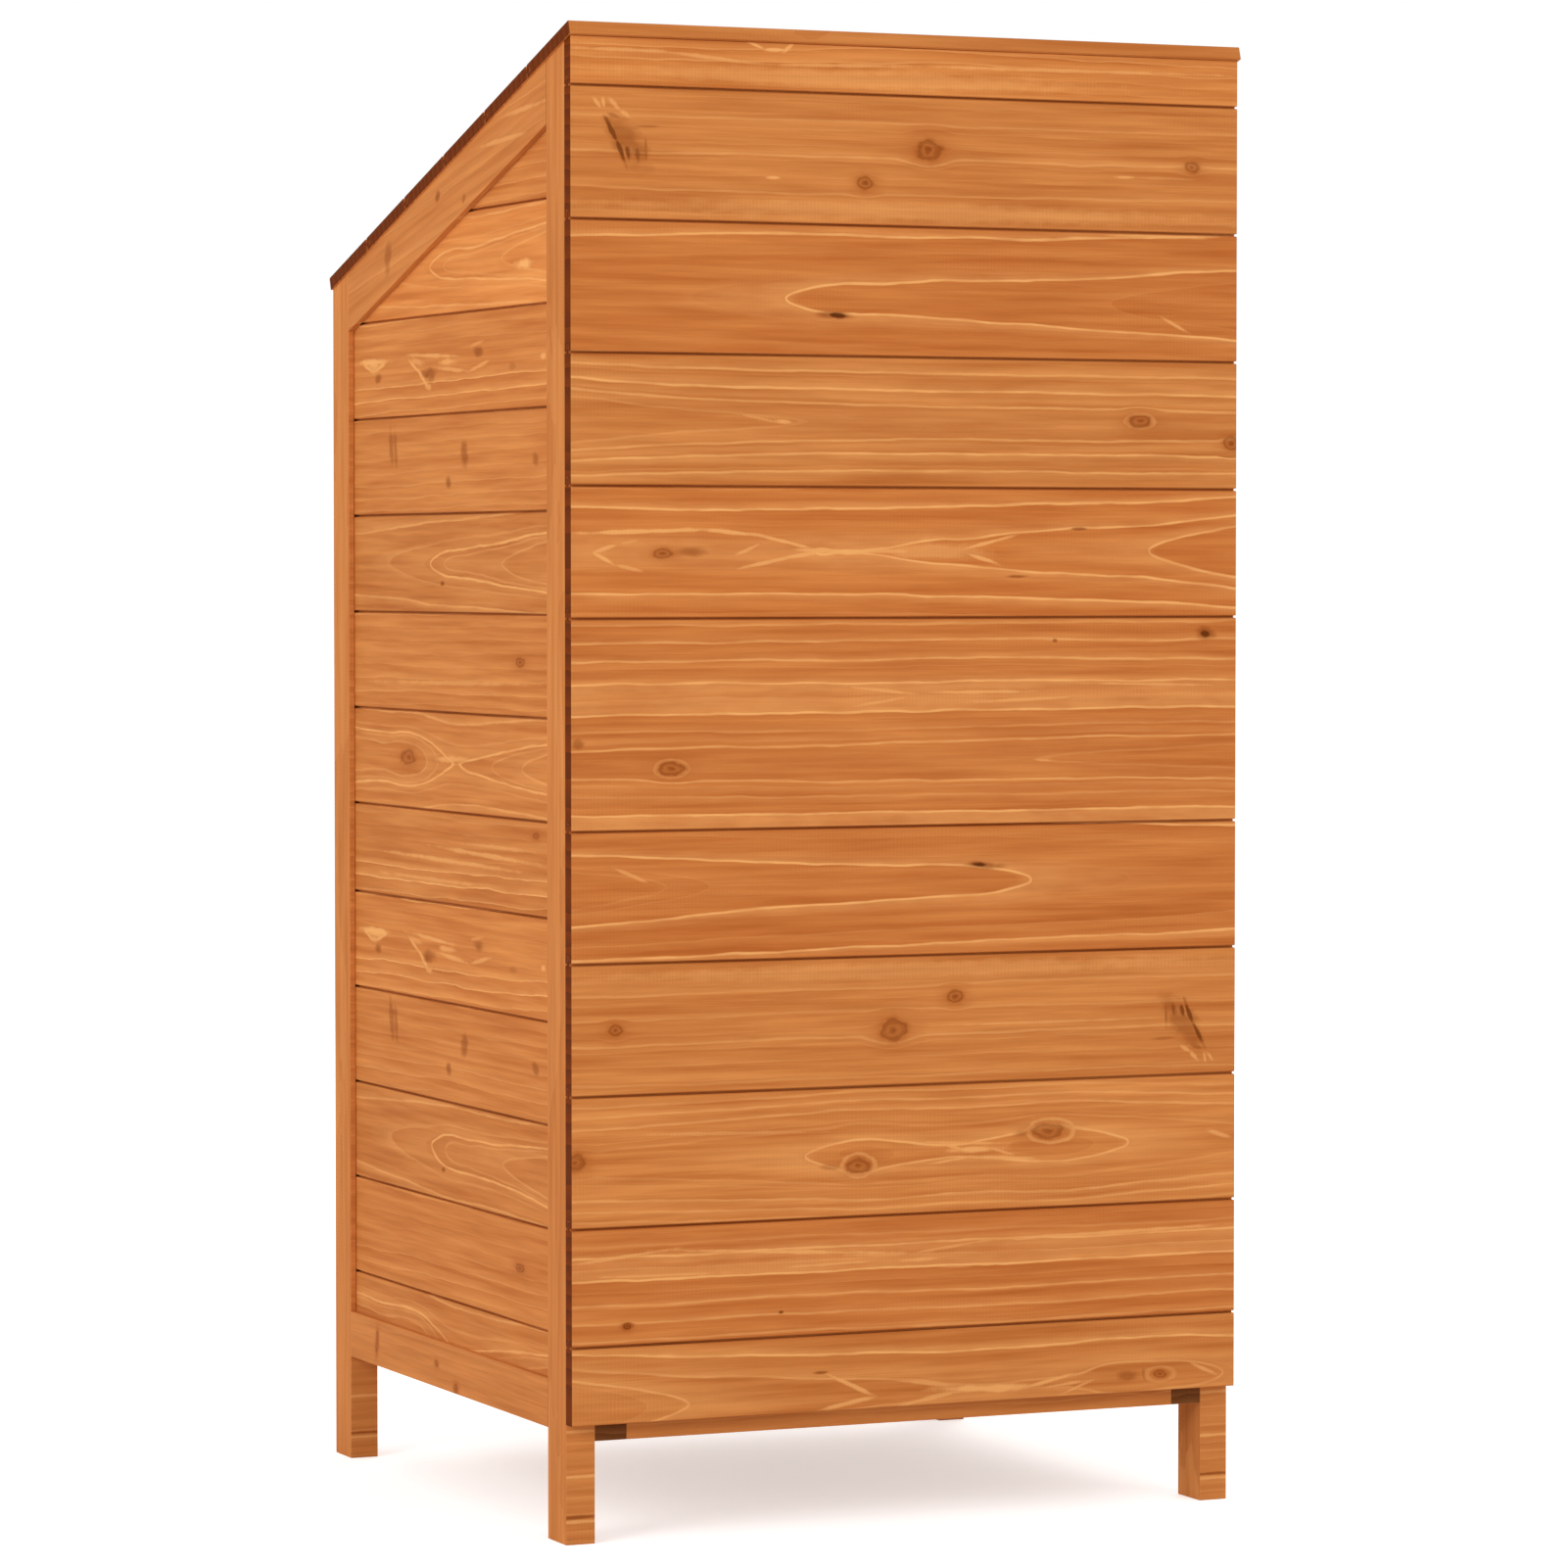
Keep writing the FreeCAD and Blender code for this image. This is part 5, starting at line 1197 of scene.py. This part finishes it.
@dataclass(frozen=True)
class Ironwork:
    """Hinges and slide bolt with their screws, all on the front."""

    face_y: float = -251.595
    leaf_x: float = 10.5
    hinge_x: float = -250.5
    hinge_levels: tuple[float, float] = (217.5, 810.0599)
    leaf_holes: tuple[float, float, float] = (-20.0, 0.0, 20.0)
    bolt_z: float = 520.0
    bolt_hole: float = 12.6
    plate_holes: tuple[float, float] = (221.9, 241.6)
    keeper_hole: float = 261.5
    bolt_nodes: tuple[str, ...] = ("bolt_plate", "bolt_keeper", "slide_bolt", "bolt_knob")
    screw: Screw = Screw()

    def build(self) -> None:
        """Dresses the ironwork and drives its screws."""
        names = [n for n in frame["nodes"] if "hinge_" in n or n in self.bolt_nodes]
        dress(names, SHEET_STEEL.material())
        chance = random.Random(11)
        for level, where in zip(self.hinge_levels, ("lower", "upper")):
            for body, way in (("carcass", -1), ("door", 1)):
                spots = [(self.hinge_x + way * self.leaf_x, level + z) for z in self.leaf_holes]
                self.drive(f"{where}_hinge_{'post' if way < 0 else 'door'}_screws", body, spots, chance)
        pair = (self.bolt_z - self.bolt_hole, self.bolt_z + self.bolt_hole)
        self.drive("bolt_plate_screws", "door", [(x, z) for x in self.plate_holes for z in pair], chance)
        self.drive("bolt_keeper_screws", "carcass", [(self.keeper_hole, z) for z in pair], chance)

    def drive(self, name: str, body: str, spots: list[tuple[float, float]], chance: random.Random) -> None:
        """Drives screws through one fitting as one piece.

        Args:
            name: The piece's name.
            body: The body it moves with.
            spots: Places of the screws, as X and Z in mm.
            chance: Which way each cross recess is turned.
        """
        mesh = bmesh.new()
        for x, z in spots:
            place = Matrix.Translation(Vector((x, self.face_y, z)) * MM) @ Matrix.Rotation(math.pi / 2, 4, "X")
            self.screw.add(mesh, place @ Matrix.Rotation(chance.uniform(0, math.pi), 4, "Z"))
        place_piece(name, mesh, body, SCREW_METAL)


@dataclass(frozen=True)
class Door:
    """The boarded door in its frame."""

    courses: Courses = Courses(152.5, 77.0, 532.0, 5.5, (
        Board(), Board(Cut.LOOP, 0.02), Board(Cut.STRAIGHT, -0.02, 0.5), Board(Cut.EYE),
        Board(Cut.STRAIGHT, 0.03, 0.9), Board(Cut.LOOP, -0.02), Board(Cut.STRAIGHT, 0.0, 0.4),
        Board(Cut.STRAIGHT, 0.04, 0.9), Board(Cut.EYE, -0.02), Board(Cut.STRAIGHT, 0.02, 0.5), Board(Cut.LOOP)))
    rings: tuple[tuple[float, float], ...] = ((16.6, 0.5), (28.3, 0.6), (30, 1.0), (44, 0.9))

    def build(self) -> None:
        """Dresses the stiles, rails and boards."""
        # The board edges inside the seams get painted shade.
        figure = Figure(90, heart=-120, courses=self.courses, depths=SideWalls.loop_depths, rings=self.rings,
                        eye_depths=SideWalls.eye_depths, spacing=10, wander=3.5, joints=0.6, shift=220.0,
                        chance_knots=True)
        dress_wood("door_boards", STAINED_BOARD, Lay.WIDTH_UPRIGHT, figure, name="door")
        upright, level = (Lay.POST, 0), (Lay.WIDTH_UPRIGHT, 2)
        for seed, name, (lay, axis) in ((93, "door_stile_left", upright), (94, "door_stile_right", upright),
                                        (97, "door_top_rail", level), (98, "door_bottom_rail", level)):
            figure = Figure(seed, middle_of(name, axis), heart=-60, spacing=6.5, strength=0.4, wander=3)
            dress_wood(name, STAINED_BATTEN, lay, figure, SOFT_EDGE)


@dataclass(frozen=True)
class Lamp:
    """A round soft lamp, with its place and width in metres and its power in watts."""

    name: str
    spot: tuple[float, float, float]
    width: float
    power: float


@dataclass(frozen=True)
class Studio:
    """A white floor, plain soft light and the camera of the photograph, in metres and radians."""

    eye: tuple[float, float, float] = (1.88027, 4.30030, 0.71822)
    yaw: float = -1.985765
    pitch: float = -0.035862
    lens: float = 135.99
    sensor: float = 36.0
    floor_radius: float = 40.0
    floor_glow: float = 0.52
    sky: float = 0.62
    aim: tuple[float, float, float] = (0.0, 0.0, 0.5)
    lamps: tuple[Lamp, ...] = (Lamp("lamp_rear_left", (4.2, 2.2, 2.5), 2.6, 90.0),
                               Lamp("lamp_rear_right", (-1.6, 3.8, 2.2), 2.6, 30.0),
                               Lamp("lamp_front", (-2.4, -3.4, 2.8), 3.0, 60.0))

    def build(self) -> None:
        """Sets up floor, light and camera."""
        scene = bpy.context.scene
        scene.view_settings.view_transform = "Standard"
        self.lay_floor()
        self.light()
        data = bpy.data.cameras.new("photograph_camera")
        data.lens, data.sensor_width = self.lens, self.sensor
        data.clip_start, data.clip_end = 0.05, 200.0
        camera = add_object("photograph_camera", data)
        ahead = Vector((math.cos(self.yaw) * math.cos(self.pitch), math.sin(self.yaw) * math.cos(self.pitch),
                        math.sin(self.pitch)))
        camera.location = self.eye
        camera.rotation_euler = ahead.to_track_quat("-Z", "Y").to_euler()
        scene.camera = camera

    @staticmethod
    def seen(tree: bpy.types.NodeTree) -> bpy.types.NodeSocket:
        """Tells the rays that make a surface visible from those that only carry its light.

        Args:
            tree: The node tree that gets it.

        Returns:
            1 where the surface is seen, straight on, in a mirror or through glass, and else 0.
        """
        rays = put(tree, "LightPath").node.outputs
        straight = put(tree, "Math.MAXIMUM", rays["Is Camera Ray"], rays["Is Glossy Ray"])
        return put(tree, "Math.MAXIMUM", straight, rays["Is Transmission Ray"])

    def lay_floor(self) -> None:
        """Makes the floor, whose colour is white to the camera and which keeps the cabinet's shadow."""
        mesh = bmesh.new()
        bmesh.ops.create_circle(mesh, cap_ends=True, segments=96, radius=self.floor_radius)
        data = bpy.data.meshes.new("studio_floor")
        mesh.to_mesh(data)
        mesh.free()
        material, tree = new_material("painted_floor_matt_white")
        glow = put(tree, "Emission", linear("#FFFFFF"), put(tree, "Math.MULTIPLY", self.seen(tree), self.floor_glow))
        put(tree, "OutputMaterial", put(tree, "AddShader", put(tree, "BsdfDiffuse", linear("#F2F2F2")), glow))
        data.materials.append(material)
        floor = add_object("studio_floor", data)

    def light(self) -> None:
        """Makes the sky, which is white where it is seen, and the soft lamps."""
        world = bpy.data.worlds.new("studio_sky")
        bpy.context.scene.world = world
        world.use_nodes = True
        tree = world.node_tree
        tree.nodes.clear()
        level = put(tree, "Mix", self.seen(tree), self.sky, 1.0)
        put(tree, "OutputWorld", put(tree, "Background", linear("#FFFFFF"), level))
        for lamp in self.lamps:
            data = bpy.data.lights.new(lamp.name, "AREA")
            data.shape, data.size, data.energy = "DISK", lamp.width, lamp.power
            holder = add_object(lamp.name, data)
            holder.location = lamp.spot
            holder.rotation_euler = (Vector(self.aim) - Vector(lamp.spot)).to_track_quat("-Z", "Y").to_euler()


def main() -> None:
    """Builds the cabinet's looks in order, and the studio round it."""
    logging.basicConfig(level=logging.INFO, format="%(message)s")
    for part in (BackWall(), SideWalls(), CrossRails(), Inside(), Roof(), Door(), Ironwork(), Studio()):
        before = set(bpy.data.objects)
        part.build()
        made = sorted(o.name for o in set(bpy.data.objects) - before)
        LOG.info("%s dressed; new objects: %s", type(part).__name__, ", ".join(made) or "none")


if __name__ == "__main__":
    main()
